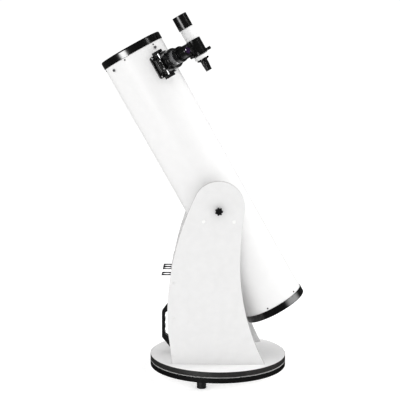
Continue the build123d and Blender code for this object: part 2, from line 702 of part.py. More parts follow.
# Primary mirror and its cell
MIRROR_BACK = MIRROR_FACE - MIRROR_T
CELL_LOW = MIRROR_BACK - 8
REAR_CELL_TOP = CELL_LOW - 10
REAR_CELL_LOW = REAR_CELL_TOP - 6
CELL_R = 108.0
COLLIMATION_PLACE_R = 75.0
COLLIMATION_BOLT_R = 3.0
CELL_VENT_R = 17.0
CELL_VENT_PLACE_R = 55.0
REAR_VENT_R = 26.0
REAR_VENT_PLACE_R = 60.0
REAR_MIDDLE_VENT_R = 18.0
mirror_sag = MIRROR_R**2 / (4 * MIRROR_FOCUS)
bowl_r, bowl_depth = dome_point(MIRROR_R, mirror_sag)
with BuildPart() as primary_mirror:
    with BuildSketch(TUBE_SECTION):
        with BuildLine():
            ThreePointArc(
                (0, MIRROR_FACE - mirror_sag),
                (bowl_r, MIRROR_FACE - bowl_depth),
                (MIRROR_R, MIRROR_FACE),
            )
            Line((MIRROR_R, MIRROR_FACE), (MIRROR_R, MIRROR_BACK))
            Line((MIRROR_R, MIRROR_BACK), (0, MIRROR_BACK))
            Line((0, MIRROR_BACK), (0, MIRROR_FACE - mirror_sag))
        make_face()
    revolve(axis=TURN_AXIS)
primary_mirror.part.label = "primary_mirror"
export_step(primary_mirror.part, "parts/primary_mirror.step")

with BuildPart() as mirror_cell:
    with BuildSketch(TUBE.offset(CELL_LOW)):
        Circle(CELL_R)
        with PolarLocations(CELL_VENT_PLACE_R, 6, start_angle=30):
            Circle(CELL_VENT_R, mode=Mode.SUBTRACT)
        with PolarLocations(COLLIMATION_PLACE_R, 3, start_angle=0):
            Circle(COLLIMATION_BOLT_R + FIT_GAP, mode=Mode.SUBTRACT)
    extrude(amount=MIRROR_BACK - CELL_LOW)
mirror_cell.part.label = "mirror_cell"
export_step(mirror_cell.part, "parts/mirror_cell.step")

CLIP_W = 16.0
with BuildPart() as mirror_clips:
    with BuildSketch(TUBE.offset(MIRROR_BACK)):
        with PolarLocations(0, 3, start_angle=60):
            with Locations(((MIRROR_R + CELL_R) / 2 + 0.2, 0)):
                Rectangle(CELL_R - MIRROR_R - 1.4, CLIP_W)
    extrude(amount=MIRROR_T + 2.5)
    with BuildSketch(TUBE.offset(MIRROR_FACE + 0.3)):
        with PolarLocations(0, 3, start_angle=60):
            with Locations((MIRROR_R, 0)):
                Rectangle(11, CLIP_W)
    extrude(amount=2.2)
mirror_clips.part.label = "mirror_clips"
export_step(mirror_clips.part, "parts/mirror_clips.step")

with BuildPart() as rear_cell:
    with BuildSketch(TUBE.offset(REAR_CELL_LOW)):
        Circle(SKIRT_R)
        with PolarLocations(REAR_VENT_PLACE_R, 3, start_angle=60):
            Circle(REAR_VENT_R, mode=Mode.SUBTRACT)
        Circle(REAR_MIDDLE_VENT_R, mode=Mode.SUBTRACT)
        with PolarLocations(COLLIMATION_PLACE_R, 3, start_angle=0):
            Circle(COLLIMATION_BOLT_R + FIT_GAP, mode=Mode.SUBTRACT)
    extrude(amount=REAR_CELL_TOP - REAR_CELL_LOW)
    add(tube_screws.part, mode=Mode.SUBTRACT)
rear_cell.part.label = "rear_cell"
export_step(rear_cell.part, "parts/rear_cell.step")

SPRING_R = 7.0
SPRING_WIRE_R = 0.9
spring_height = CELL_LOW - REAR_CELL_TOP - 2 * SPRING_WIRE_R - 0.2
with BuildPart() as spring_blank:
    with BuildLine() as spring_line:
        Helix(pitch=spring_height / 2.5, height=spring_height, radius=SPRING_R)
    with BuildSketch(Plane(origin=spring_line.line @ 0, z_dir=spring_line.line % 0)):
        Circle(SPRING_WIRE_R)
    sweep(is_frenet=True)
with BuildPart() as collimation_springs:
    with Locations(TUBE.offset(REAR_CELL_TOP + SPRING_WIRE_R + 0.1)):
        with PolarLocations(COLLIMATION_PLACE_R, 3, start_angle=0):
            add(spring_blank.part)
collimation_springs.part.label = "collimation_springs"
export_step(collimation_springs.part, "parts/collimation_springs.step")

collimation_blank = lobed_knob(
    shank_r=COLLIMATION_BOLT_R,
    shank_length=REAR_CELL_TOP - REAR_CELL_LOW + 15,
    neck_r=6.0,
    neck_h=1.5,
    grip_r=11.0,
    grip_h=9.0,
    lobes=6,
)
for count in range(3):
    turn = radians(120 * count)
    place = (COLLIMATION_PLACE_R * cos(turn), COLLIMATION_PLACE_R * sin(turn), REAR_CELL_LOW - 0.2)
    with BuildPart() as collimation_knob:
        with Locations(Location(TUBE) * Pos(*place)):
            add(collimation_blank)
    collimation_knob.part.label = f"collimation_knob_{count + 1}"
    export_step(collimation_knob.part, f"parts/collimation_knob_{count + 1}.step")

# ---- Focuser ----------------------------------------------------------------------------
PLATE_TOP = 126.0
COLLAR_LOW = 162.0
COLLAR_TOP = 183.0
BODY_R = 33.0
COLLAR_R = 36.5
SHAFT_R = 3.0
SHAFT_Y = DRAW_R + SHAFT_R + FIT_GAP
BASE_PAD = (66.0, 70.0)
BODY_FOOT = (60.0, 64.0)
BODY_FOOT_T = 7.0
PLATE_CORNER = 12.0
BLOCK_HALF = 23.0
BLOCK_OUT = 43.0
with BuildPart() as focuser_base:
    with BuildSketch(TUBE.offset(FOCUSER_S - SADDLE_HALF_LENGTH)):
        Circle(SADDLE_R)
        Circle(TUBE_R, mode=Mode.SUBTRACT)
    extrude(amount=2 * SADDLE_HALF_LENGTH)
    saddle_half_width = SADDLE_R * sin(radians(SADDLE_HALF_ANGLE))
    with BuildSketch(FOCUS.offset(90)):
        RectangleRounded(2 * SADDLE_HALF_LENGTH, 2 * saddle_half_width, 7)
    extrude(amount=60, mode=Mode.INTERSECT)
    with BuildSketch(FOCUS.offset(100)):
        RectangleRounded(*BASE_PAD, PLATE_CORNER)
    extrude(amount=PLATE_TOP - 100)
    with BuildSketch(TUBE.offset(FOCUSER_S - 50)):
        Circle(TUBE_R)
    extrude(amount=100, mode=Mode.SUBTRACT)
    with BuildSketch(FOCUS.offset(90)):
        Circle(DRAW_R + 1)
    extrude(amount=60, mode=Mode.SUBTRACT)
    add(tube_screws.part, mode=Mode.SUBTRACT)
focuser_base.part.label = "focuser_base"
export_step(focuser_base.part, "parts/focuser_base.step")

with BuildPart() as focuser_body:
    with BuildSketch(FOCUS.offset(PLATE_TOP)):
        RectangleRounded(*BODY_FOOT, PLATE_CORNER)
    extrude(amount=BODY_FOOT_T)
    with BuildSketch(FOCUS.offset(PLATE_TOP + BODY_FOOT_T)):
        Circle(BODY_R)
    extrude(amount=COLLAR_LOW - PLATE_TOP - BODY_FOOT_T)
    with BuildSketch(FOCUS.offset(COLLAR_LOW)):
        Circle(COLLAR_R)
    extrude(amount=COLLAR_TOP - COLLAR_LOW)
    with BuildSketch(FOCUS.offset(SHAFT_OUT - 10)):
        with Locations((0, BLOCK_OUT / 2)):
            Rectangle(2 * BLOCK_HALF, BLOCK_OUT)
    extrude(amount=20)
    collar_rims = focuser_body.edges().filter_by(GeomType.CIRCLE).filter_by(lambda e: e.radius > COLLAR_R - 0.01)
    chamfer(collar_rims, 1.5)
    with BuildSketch(FOCUS.offset(PLATE_TOP)):
        Circle(DRAW_R + FIT_GAP)
    extrude(amount=COLLAR_TOP - PLATE_TOP, mode=Mode.SUBTRACT)
    shaft_hole = Plane(origin=FOCUS.from_local_coords((0, SHAFT_Y, SHAFT_OUT)), z_dir=FOCUS.x_dir)
    with BuildSketch(shaft_hole):
        Circle(SHAFT_R + FIT_GAP)
    extrude(amount=BLOCK_HALF + 1, both=True, mode=Mode.SUBTRACT)
focuser_body.part.label = "focuser_body"
export_step(focuser_body.part, "parts/focuser_body.step")

KNOB_MIDDLE = 46.2
FOCUS_KNOB_R = 19.5
FOCUS_KNOB_T = 11.0
with BuildPart() as focus_shaft:
    with BuildSketch(shaft_hole):
        Circle(SHAFT_R)
    extrude(amount=KNOB_MIDDLE + FOCUS_KNOB_T / 2, both=True)
focus_shaft.part.label = "focus_shaft"
export_step(focus_shaft.part, "parts/focus_shaft.step")

FOCUS_KNOB_FLUTES = 24
with BuildPart() as focus_knobs:
    for side in (-1, 1):
        with BuildSketch(shaft_hole.offset(side * KNOB_MIDDLE - FOCUS_KNOB_T / 2)):
            Circle(FOCUS_KNOB_R)
            with PolarLocations(FOCUS_KNOB_R + 0.6, FOCUS_KNOB_FLUTES):
                Circle(1.4, mode=Mode.SUBTRACT)
            Circle(SHAFT_R, mode=Mode.SUBTRACT)
        extrude(amount=FOCUS_KNOB_T)
focus_knobs.part.label = "focus_knobs"
export_step(focus_knobs.part, "parts/focus_knobs.step")

DRAW_LOW = 104.0
DRAW_TOP = 203.0
DRAW_BORE_R = 25.4
with BuildPart() as drawtube:
    with BuildSketch(FOCUS.offset(DRAW_LOW)):
        Circle(DRAW_R)
        Circle(DRAW_BORE_R, mode=Mode.SUBTRACT)
    extrude(amount=DRAW_TOP - DRAW_LOW)
drawtube.part.label = "drawtube"
export_step(drawtube.part, "parts/drawtube.step")

ADAPTER_TOP = 222.0
ADAPTER_R = 28.5
ADAPTER_PLUG = 18.0  # the part inside the drawtube
ADAPTER_SCREW_R = 2.0
BARREL_R = 15.85
EYEPIECE_SCREW_OUT = (DRAW_TOP + ADAPTER_TOP) / 2
with BuildPart() as eyepiece_adapter:
    with BuildSketch(FOCUS.offset(DRAW_TOP - ADAPTER_PLUG)):
        Circle(DRAW_BORE_R)
    extrude(amount=ADAPTER_PLUG)
    with BuildSketch(FOCUS.offset(DRAW_TOP)):
        Circle(ADAPTER_R)
    extrude(amount=ADAPTER_TOP - DRAW_TOP)
    adapter_rims = eyepiece_adapter.edges().filter_by(GeomType.CIRCLE).filter_by(lambda e: e.radius > ADAPTER_R - 0.5)
    chamfer(adapter_rims, 1.0)
    with BuildSketch(FOCUS.offset(DRAW_TOP - ADAPTER_PLUG)):
        Circle(BARREL_R)
    extrude(amount=ADAPTER_TOP - DRAW_TOP + ADAPTER_PLUG, mode=Mode.SUBTRACT)
    adapter_screw_hole = Plane(origin=FOCUS.from_local_coords((0, 0, EYEPIECE_SCREW_OUT)), z_dir=-FOCUS.y_dir)
    with BuildSketch(adapter_screw_hole):
        Circle(ADAPTER_SCREW_R + FIT_GAP)
    extrude(amount=40, mode=Mode.SUBTRACT)
eyepiece_adapter.part.label = "eyepiece_adapter"
export_step(eyepiece_adapter.part, "parts/eyepiece_adapter.step")

adapter_head_out = ADAPTER_R + 1
with BuildPart() as eyepiece_thumbscrew:
    with Locations(Location(adapter_screw_hole.offset(adapter_head_out)) * Rot(180, 0, 0)):
        add(thumbscrew(ADAPTER_SCREW_R, adapter_head_out - BARREL_R - 0.1, head_r=5.5, head_h=8.0))
eyepiece_thumbscrew.part.label = "eyepiece_thumbscrew"
export_step(eyepiece_thumbscrew.part, "parts/eyepiece_thumbscrew.step")

EYE_BODY_R = 21.5
EYE_BARREL = 26.0
EYE_BORE_R = 13.5
LENS_SEAT = 7.0
LENS_R = 15.0
with BuildPart() as eyepiece:
    with BuildSketch(FOCUS.offset(ADAPTER_TOP - EYE_BARREL)):
        Circle(BARREL_R)
    extrude(amount=EYE_BARREL)
    with BuildSketch(FOCUS.offset(ADAPTER_TOP)):
        Circle(EYE_BODY_R)
    extrude(amount=EYE_END - ADAPTER_TOP)
    eye_rims = eyepiece.edges().filter_by(GeomType.CIRCLE).filter_by(lambda e: e.radius > EYE_BODY_R - 0.01)
    fillet(eye_rims, 1.5)
    with BuildSketch(FOCUS.offset(EYE_END - LENS_SEAT)):
        Circle(LENS_R)
    extrude(amount=LENS_SEAT, mode=Mode.SUBTRACT)
    with BuildSketch(FOCUS.offset(ADAPTER_TOP - EYE_BARREL)):
        Circle(EYE_BORE_R)
    extrude(amount=EYE_END - LENS_SEAT - ADAPTER_TOP + EYE_BARREL, mode=Mode.SUBTRACT)
eyepiece.part.label = "eyepiece"
export_step(eyepiece.part, "parts/eyepiece.step")

LENS_EDGE = 2.5
LENS_SWELL = 1.8
FOCUS_SECTION = Plane(origin=FOCUS.origin, x_dir=FOCUS.x_dir, z_dir=-FOCUS.y_dir)
lens_low = EYE_END - LENS_SEAT
dome_r, dome_h = dome_point(LENS_R, LENS_SWELL)
with BuildPart() as eyepiece_lens:
    with BuildSketch(FOCUS_SECTION):
        with BuildLine():
            Line((0, lens_low), (LENS_R, lens_low))
            Line((LENS_R, lens_low), (LENS_R, lens_low + LENS_EDGE))
            ThreePointArc(
                (LENS_R, lens_low + LENS_EDGE),
                (dome_r, lens_low + LENS_EDGE + dome_h),
                (0, lens_low + LENS_EDGE + LENS_SWELL),
            )
            Line((0, lens_low + LENS_EDGE + LENS_SWELL), (0, lens_low))
        make_face()
    revolve(axis=Axis(FOCUS.origin, FOCUS.z_dir))
eyepiece_lens.part.label = "eyepiece_lens"
export_step(eyepiece_lens.part, "parts/eyepiece_lens.step")

# ---- Finder -------------------------------------------------------------------------------
BRACKET_LOW = 514.0
BRACKET_TOP = 575.0
BRACKET_R = 28.3
BRACKET_BORE = 26.3
SHOE_LENGTH = 54.0
SHOE_W = 44.0
SHOE_SCREW_R = 2.5
FOOT_LOW = 124.0
FOOT_TOP = 131.0
with BuildPart() as finder_shoe:
    with BuildSketch(TUBE.offset(SHOE_S - SHOE_LENGTH / 2)):
        with Locations((FOOT_TOP - 10.5, 0)):
            Rectangle(21, SHOE_W)
        Circle(TUBE_R, mode=Mode.SUBTRACT)
        with BuildLine():
            Polyline(
                (SADDLE_R, -17.6),
                (FOOT_LOW, -17.6),
                (FOOT_TOP + 1, -13.6),
                (FOOT_TOP + 1, 13.6),
                (FOOT_LOW, 17.6),
                (SADDLE_R, 17.6),
                close=True,
            )
        make_face(mode=Mode.SUBTRACT)
    extrude(amount=SHOE_LENGTH)
    shoe_screw_hole = Plane(origin=TUBE.from_local_coords((FOOT_TOP - 3, 0, SHOE_S)), z_dir=(0, -1, 0))
    with BuildSketch(shoe_screw_hole):
        Circle(SHOE_SCREW_R + FIT_GAP)
    extrude(amount=30, mode=Mode.SUBTRACT)
    add(tube_screws.part, mode=Mode.SUBTRACT)
finder_shoe.part.label = "finder_shoe"
export_step(finder_shoe.part, "parts/finder_shoe.step")

with BuildPart() as shoe_thumbscrew:
    with Locations(Location(shoe_screw_hole.offset(SHOE_W / 2 + 1)) * Rot(180, 0, 0)):
        add(thumbscrew(SHOE_SCREW_R, shank_length=6.0, head_r=7.0, head_h=9.0))
shoe_thumbscrew.part.label = "shoe_thumbscrew"
export_step(shoe_thumbscrew.part, "parts/shoe_thumbscrew.step")

ADJUST_S = BRACKET_LOW + 7
ADJUST_ANGLES = (-20.0, -140.0)
PLUNGER_ANGLE = 100.0
ADJUST_R = 2.0


def finder_radial(angle, r):
    """A plane that faces out of the finder at an angle around it, in the screws' ring."""
    across = (cos(radians(angle)), sin(radians(angle)))
    out = FINDER.from_local_coords((across[0], across[1], 0)) - FINDER.origin
    origin = FINDER.from_local_coords((r * across[0], r * across[1], ADJUST_S))
    return Plane(origin=origin, x_dir=FINDER.z_dir, z_dir=out)


with BuildPart() as finder_bracket:
    with BuildSketch(TUBE.offset(SHOE_S - SHOE_LENGTH / 2)):
        with BuildLine():
            Polyline(
                (FOOT_LOW, -17.0),
                (FOOT_TOP, -13.0),
                (FOOT_TOP, 13.0),
                (FOOT_LOW, 17.0),
                close=True,
            )
        make_face()
    extrude(amount=SHOE_LENGTH)
    with BuildSketch(TUBE.offset(SHOE_S - 20)):
        with Locations(((FOOT_TOP + FINDER_X - FINDER_R) / 2, 0)):
            Rectangle(FINDER_X - FINDER_R - FOOT_TOP + 2, 13)
    extrude(amount=40)
    with BuildSketch(FINDER.offset(BRACKET_LOW)):
        Circle(BRACKET_R)
    extrude(amount=BRACKET_TOP - BRACKET_LOW)
    with Locations(*[finder_radial(angle, 20) for angle in (*ADJUST_ANGLES, PLUNGER_ANGLE)]):
        Cylinder(6.5, 11.5, align=(Align.CENTER, Align.CENTER, Align.MIN))
    with BuildSketch(FINDER.offset(BRACKET_LOW)):
        Circle(BRACKET_BORE)
    extrude(amount=BRACKET_TOP - BRACKET_LOW, mode=Mode.SUBTRACT)
    with Locations(*[finder_radial(angle, 20) for angle in (*ADJUST_ANGLES, PLUNGER_ANGLE)]):
        Cylinder(ADJUST_R + FIT_GAP, 30, align=(Align.CENTER, Align.CENTER, Align.MIN), mode=Mode.SUBTRACT)
finder_bracket.part.label = "finder_bracket"
export_step(finder_bracket.part, "parts/finder_bracket.step")

ADJUST_FACE = 31.5
adjust_blank = thumbscrew(ADJUST_R, ADJUST_FACE + 3 - FINDER_R - 0.1, 5.5, 12.5)
with BuildPart() as finder_adjust_screw_upper:
    with Locations(Location(finder_radial(ADJUST_ANGLES[0], ADJUST_FACE + 3)) * Rot(180, 0, 0)):
        add(adjust_blank)
finder_adjust_screw_upper.part.label = "finder_adjust_screw_upper"
export_step(finder_adjust_screw_upper.part, "parts/finder_adjust_screw_upper.step")

with BuildPart() as finder_adjust_screw_lower:
    with Locations(Location(finder_radial(ADJUST_ANGLES[1], ADJUST_FACE + 3)) * Rot(180, 0, 0)):
        add(adjust_blank)
finder_adjust_screw_lower.part.label = "finder_adjust_screw_lower"
export_step(finder_adjust_screw_lower.part, "parts/finder_adjust_screw_lower.step")

with BuildPart() as finder_plunger:
    with Locations(finder_radial(PLUNGER_ANGLE, FINDER_R + 0.1)):
        Cylinder(ADJUST_R, ADJUST_FACE - FINDER_R, align=(Align.CENTER, Align.CENTER, Align.MIN))
    with Locations(finder_radial(PLUNGER_ANGLE, ADJUST_FACE)):
        Cylinder(6.0, 12.0, align=(Align.CENTER, Align.CENTER, Align.MIN))
finder_plunger.part.label = "finder_plunger"
export_step(finder_plunger.part, "parts/finder_plunger.step")

O_RING_S = 566.0
with BuildPart() as finder_o_ring:
    with BuildSketch(FINDER.offset(O_RING_S)):
        Circle(BRACKET_BORE)
        Circle(FINDER_R, mode=Mode.SUBTRACT)
    extrude(amount=4)
finder_o_ring.part.label = "finder_o_ring"
export_step(finder_o_ring.part, "parts/finder_o_ring.step")

FINDER_LOW = 499.0
FINDER_TOP = 640.0
FINDER_BORE = FINDER_R - 1.3
TAIL_COLLAR_R = 27.5
with BuildPart() as finder_tube:
    with BuildSketch(FINDER.offset(FINDER_LOW)):
        Circle(TAIL_COLLAR_R)
    extrude(amount=BRACKET_LOW - 1.5 - FINDER_LOW)
    tail_rims = finder_tube.edges().filter_by(GeomType.CIRCLE)
    fillet(tail_rims, 1.0)
    with BuildSketch(FINDER.offset(FINDER_LOW)):
        Circle(FINDER_R)
    extrude(amount=FINDER_TOP - FINDER_LOW)
    with BuildSketch(FINDER.offset(FINDER_LOW)):
        Circle(FINDER_BORE)
    extrude(amount=FINDER_TOP - FINDER_LOW, mode=Mode.SUBTRACT)
finder_tube.part.label = "finder_tube"
export_step(finder_tube.part, "parts/finder_tube.step")

DEW_LOW = 622.5
DEW_TOP = 675.0
DEW_R = 27.4
DEW_BORE = 25.6
with BuildPart() as finder_dew_shield:
    with BuildSketch(FINDER.offset(DEW_LOW)):
        Circle(DEW_R)
    extrude(amount=DEW_TOP - DEW_LOW)
    shield_rims = finder_dew_shield.edges().filter_by(GeomType.CIRCLE)
    chamfer(shield_rims, 0.6)
    with BuildSketch(FINDER.offset(DEW_LOW)):
        Circle(FINDER_R)
    extrude(amount=FINDER_TOP - DEW_LOW, mode=Mode.SUBTRACT)
    with BuildSketch(FINDER.offset(FINDER_TOP)):
        Circle(DEW_BORE)
    extrude(amount=DEW_TOP - FINDER_TOP, mode=Mode.SUBTRACT)
finder_dew_shield.part.label = "finder_dew_shield"
export_step(finder_dew_shield.part, "parts/finder_dew_shield.step")

OBJECTIVE_EDGE = 5.0
OBJECTIVE_SWELL = 2.2
FINDER_SECTION = Plane(origin=FINDER.origin, x_dir=FINDER.x_dir, z_dir=(0, -1, 0))
dome_r, dome_h = dome_point(DEW_BORE, OBJECTIVE_SWELL)
with BuildPart() as finder_objective:
    with BuildSketch(FINDER_SECTION):
        with BuildLine():
            Line((0, FINDER_TOP), (DEW_BORE, FINDER_TOP))
            Line((DEW_BORE, FINDER_TOP), (DEW_BORE, FINDER_TOP + OBJECTIVE_EDGE))
            ThreePointArc(
                (DEW_BORE, FINDER_TOP + OBJECTIVE_EDGE),
                (dome_r, FINDER_TOP + OBJECTIVE_EDGE + dome_h),
                (0, FINDER_TOP + OBJECTIVE_EDGE + OBJECTIVE_SWELL),
            )
            Line((0, FINDER_TOP + OBJECTIVE_EDGE + OBJECTIVE_SWELL), (0, FINDER_TOP))
        make_face()
    revolve(axis=Axis(FINDER.origin, FINDER.z_dir))
finder_objective.part.label = "finder_objective"
export_step(finder_objective.part, "parts/finder_objective.step")

EYE_LOW = 450.5
EYE_FLANGE_LOW = 494.0
with BuildPart() as finder_eyepiece:
    with BuildSketch(FINDER_SECTION):
        with BuildLine():
            Polyline(
                (0, FINDER_LOW),
                (0, EYE_LOW + 3),
                (8.0, EYE_LOW + 3),
                (9.0, EYE_LOW),
                (11.3, EYE_LOW),
                (13.2, EYE_FLANGE_LOW - 4),
                (17.0, EYE_FLANGE_LOW - 2.5),
                (23.2, EYE_FLANGE_LOW),
                (23.2, FINDER_LOW),
                close=True,
            )
        make_face()
    revolve(axis=Axis(FINDER.origin, FINDER.z_dir))
finder_eyepiece.part.label = "finder_eyepiece"
export_step(finder_eyepiece.part, "parts/finder_eyepiece.step")
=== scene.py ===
import json
from math import atan2, cos, hypot, pi, radians, sin, sqrt, tan

import bmesh
import bpy
from mathutils import Matrix, Vector


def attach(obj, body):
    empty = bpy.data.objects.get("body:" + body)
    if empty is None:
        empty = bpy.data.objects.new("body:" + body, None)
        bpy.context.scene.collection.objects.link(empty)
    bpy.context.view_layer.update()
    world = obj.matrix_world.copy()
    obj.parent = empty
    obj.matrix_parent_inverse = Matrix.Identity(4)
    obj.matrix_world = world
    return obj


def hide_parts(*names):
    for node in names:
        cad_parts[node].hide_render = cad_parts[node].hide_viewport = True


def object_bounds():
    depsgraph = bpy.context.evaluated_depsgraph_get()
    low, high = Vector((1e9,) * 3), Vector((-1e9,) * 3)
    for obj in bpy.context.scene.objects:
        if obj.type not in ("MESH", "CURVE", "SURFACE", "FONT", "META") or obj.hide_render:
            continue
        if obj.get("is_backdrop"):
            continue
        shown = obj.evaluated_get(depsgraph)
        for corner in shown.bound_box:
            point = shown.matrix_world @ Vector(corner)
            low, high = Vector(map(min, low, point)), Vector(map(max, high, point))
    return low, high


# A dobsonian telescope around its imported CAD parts. Lengths in the pieces below are
# millimetres in a local frame; each frame carries the scale to the row's metres.

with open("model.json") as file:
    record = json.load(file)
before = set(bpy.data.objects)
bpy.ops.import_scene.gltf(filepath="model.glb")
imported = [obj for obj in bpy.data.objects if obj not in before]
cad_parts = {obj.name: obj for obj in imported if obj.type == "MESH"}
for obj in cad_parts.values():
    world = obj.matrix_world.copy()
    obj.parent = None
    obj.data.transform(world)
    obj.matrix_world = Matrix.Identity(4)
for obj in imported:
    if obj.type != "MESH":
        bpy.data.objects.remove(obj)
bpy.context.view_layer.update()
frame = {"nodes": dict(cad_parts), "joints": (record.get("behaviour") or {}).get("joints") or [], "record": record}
record = frame["record"]
joints = {joint["name"]: joint for joint in frame["joints"]}
body_of = {node: body for body, nodes in record["behaviour"]["bodies"].items() for node in nodes}
slot_of = {row["node"]: row["material_slot"] for row in record["subparts"]}


# ---- Frames ----
MM = 0.001
TINY = 1e-6


def facing(x_dir, z_dir):
    """A turn that takes Z to a direction and X as near as it can to another."""
    z = Vector(z_dir).normalized()
    x = Vector(x_dir)
    x = (x - z * x.dot(z)).normalized()
    return Matrix((x, z.cross(x), z)).transposed().to_4x4()


def placed(origin, x_dir, z_dir):
    """Local millimetres to the row frame in metres."""
    return Matrix.Translation(Vector(origin)) @ facing(x_dir, z_dir) @ Matrix.Scale(MM, 4)


def around(angle, height, radius):
    """A frame that faces outwards at an angle round a frame's Z, with its X along that Z."""
    out = Vector((cos(radians(angle)), sin(radians(angle)), 0))
    along = Vector((0, 0, 1))
    return Matrix.Translation(out * radius + along * height) @ facing(along, out)


def shift(x=0.0, y=0.0, z=0.0):
    return Matrix.Translation((x, y, z))


def spin(angle, axis="Z"):
    return Matrix.Rotation(radians(angle), 4, axis)


def spread(count, first=0.0, out=0.0, z=0.0):
    """Frames spread evenly round a frame's Z, each with its X outwards."""
    return [spin(first + 360 * k / count) @ shift(out, 0, z) for k in range(count)]


FLIP = spin(180, "X")
ROW = placed((0, 0, 0), (1, 0, 0), (0, 0, 1))
NEAR = placed((0, 0, 0), (1, 0, 0), (0, -1, 0))  # x along the row, y up, z to the viewer
PIVOT = Vector(joints["altitude"]["pos_m"])
UP_TUBE = -Vector(joints["collimation_turn_1"]["axis"]).normalized()
ACROSS = Vector((0, 1, 0)).cross(UP_TUBE)
OUT = Vector(joints["focus_slide"]["axis"]).normalized()
FOCUSER_S = 549.0  # distance up the tube from the pivot
FINDER_X = 212.0  # from the tube's axis to the finder's
TUBE = placed(PIVOT, ACROSS, UP_TUBE)
FOCUS = placed(PIVOT + UP_TUBE * FOCUSER_S * MM, UP_TUBE, OUT)
FINDER = placed(PIVOT + ACROSS * (FINDER_X * MM), ACROSS, UP_TUBE)


# ---- Surfaces ----
FINISHES = {}
MIDDLE_OF_NOISE = (0.3, 0.7)
PORE_SCALE, PORE_DEPTH = 900.0, 0.0004
SMOOTHEST_COAT = 0.05


def set_inputs(node, values):
    for socket, value in values.items():
        node.inputs[socket].default_value = value


def colour(value):
    """A colour from three numbers, or a grey from one."""
    return (*value, 1) if isinstance(value, tuple) else (value, value, value, 1)


def finish(name, dark, light, grain, rough, metallic=0.0, coat=0.0, relief=0.0, specular=0.5):
    """Two close colours in a noise, an uneven gloss and a slight relief."""
    material = bpy.data.materials.new(name)
    material.use_nodes = True
    nodes, links = material.node_tree.nodes, material.node_tree.links
    shader = nodes["Principled BSDF"]
    set_inputs(shader, {"Metallic": metallic, "Coat Weight": coat, "Specular IOR Level": specular,
                        "Coat Roughness": max(SMOOTHEST_COAT, rough[0])})
    place = nodes.new("ShaderNodeTexCoord").outputs["Object"]

    def noise(scale, detail):
        texture = nodes.new("ShaderNodeTexNoise")
        set_inputs(texture, {"Scale": scale, "Detail": detail})
        links.new(place, texture.inputs["Vector"])
        return texture.outputs["Fac"]

    cloud = noise(grain, 5.0)
    ramp = nodes.new("ShaderNodeValToRGB")
    for stop, level, shade in zip(ramp.color_ramp.elements, MIDDLE_OF_NOISE, (dark, light)):
        stop.position = level
        stop.color = colour(shade)
    links.new(cloud, ramp.inputs["Fac"])
    links.new(ramp.outputs["Color"], shader.inputs["Base Color"])
    gloss = nodes.new("ShaderNodeMapRange")
    low, high = MIDDLE_OF_NOISE
    set_inputs(gloss, {"From Min": low, "From Max": high, "To Min": rough[0], "To Max": rough[1]})
    links.new(cloud, gloss.inputs["Value"])
    links.new(gloss.outputs["Result"], shader.inputs["Roughness"])
    if relief:
        bump = nodes.new("ShaderNodeBump")
        set_inputs(bump, {"Strength": relief, "Distance": PORE_DEPTH})
        links.new(noise(PORE_SCALE, 3.0), bump.inputs["Height"])
        links.new(bump.outputs["Normal"], shader.inputs["Normal"])
    FINISHES[name] = material
    return material


# Finishes named after the record's slots
LAMINATE_GLOSS = dict(grain=40, rough=(0.42, 0.5), relief=0.05, specular=0.15)
finish("white_laminate", (0.79, 0.788, 0.786), (0.82, 0.818, 0.816), **LAMINATE_GLOSS)
finish("black_edge_band", (0.017, 0.0165, 0.016), (0.026, 0.025, 0.024), 120, (0.3, 0.42), specular=0.4)
finish("black_foot", 0.006, 0.012, 200, (0.45, 0.6), relief=0.2, specular=0.3)
finish("zinc_steel", (0.5, 0.5, 0.51), (0.62, 0.62, 0.63), 300, (0.28, 0.42), metallic=0.6)
finish("white_screw_head", (0.8, 0.8, 0.79), (0.86, 0.86, 0.85), 300, (0.3, 0.4))
finish("slick_white", (0.9, 0.9, 0.89), (0.94, 0.94, 0.93), 150, (0.3, 0.4), specular=0.3)
finish("tube_white", (0.86, 0.857, 0.855), (0.88, 0.877, 0.875), 30, (0.3, 0.36), specular=0.09)
finish("ring_black", (0.0025, 0.0025, 0.0026), (0.0035, 0.0035, 0.0036), 60, (0.16, 0.2), coat=0.45)
finish("black_screw", 0.004, 0.01, 500, (0.28, 0.4), specular=0.4)
finish("hub_black", 0.006, 0.012, 160, (0.45, 0.58), relief=0.25, specular=0.3)
finish("knob_black", (0.003, 0.003, 0.0031), (0.006, 0.006, 0.0062), 220, (0.34, 0.46), relief=0.15,
       specular=0.15)
finish("mirror_silver", (0.9, 0.91, 0.92), (0.93, 0.94, 0.95), 20, (0.02, 0.035), metallic=1.0)
finish("cast_black", (0.014, 0.014, 0.015), (0.03, 0.03, 0.031), 140, (0.5, 0.62), relief=0.6)
finish("spring_steel", (0.45, 0.45, 0.46), (0.6, 0.6, 0.61), 400, (0.25, 0.35), metallic=0.6)
finish("vane_black", 0.008, 0.016, 250, (0.65, 0.8))
finish("focuser_black", (0.003, 0.003, 0.0033), (0.006, 0.006, 0.0064), 300, (0.22, 0.3), relief=0.1,
       coat=0.3)
finish("bright_chrome", (0.8, 0.8, 0.81), (0.9, 0.9, 0.91), 260, (0.12, 0.2), metallic=0.45, specular=0.8)
finish("eyepiece_black", 0.003, 0.006, 300, (0.24, 0.32), specular=0.4)
finish("coated_lens", (0.012, 0.004, 0.022), (0.03, 0.01, 0.05), 45, (0.03, 0.05), coat=1.0, specular=0.8)
finish("finder_white", 0.875, 0.895, 50, (0.3, 0.36), specular=0.05)
finish("finder_black", (0.0035, 0.0035, 0.0037), (0.007, 0.007, 0.0072), 280, (0.2, 0.26), coat=0.2,
       specular=0.25)
finish("black_rubber", 0.01, 0.02, 400, (0.65, 0.8), relief=0.3)
finish("rack_black", (0.004, 0.004, 0.0042), (0.009, 0.009, 0.0093), 200, (0.35, 0.46), relief=0.1,
       specular=0.3)
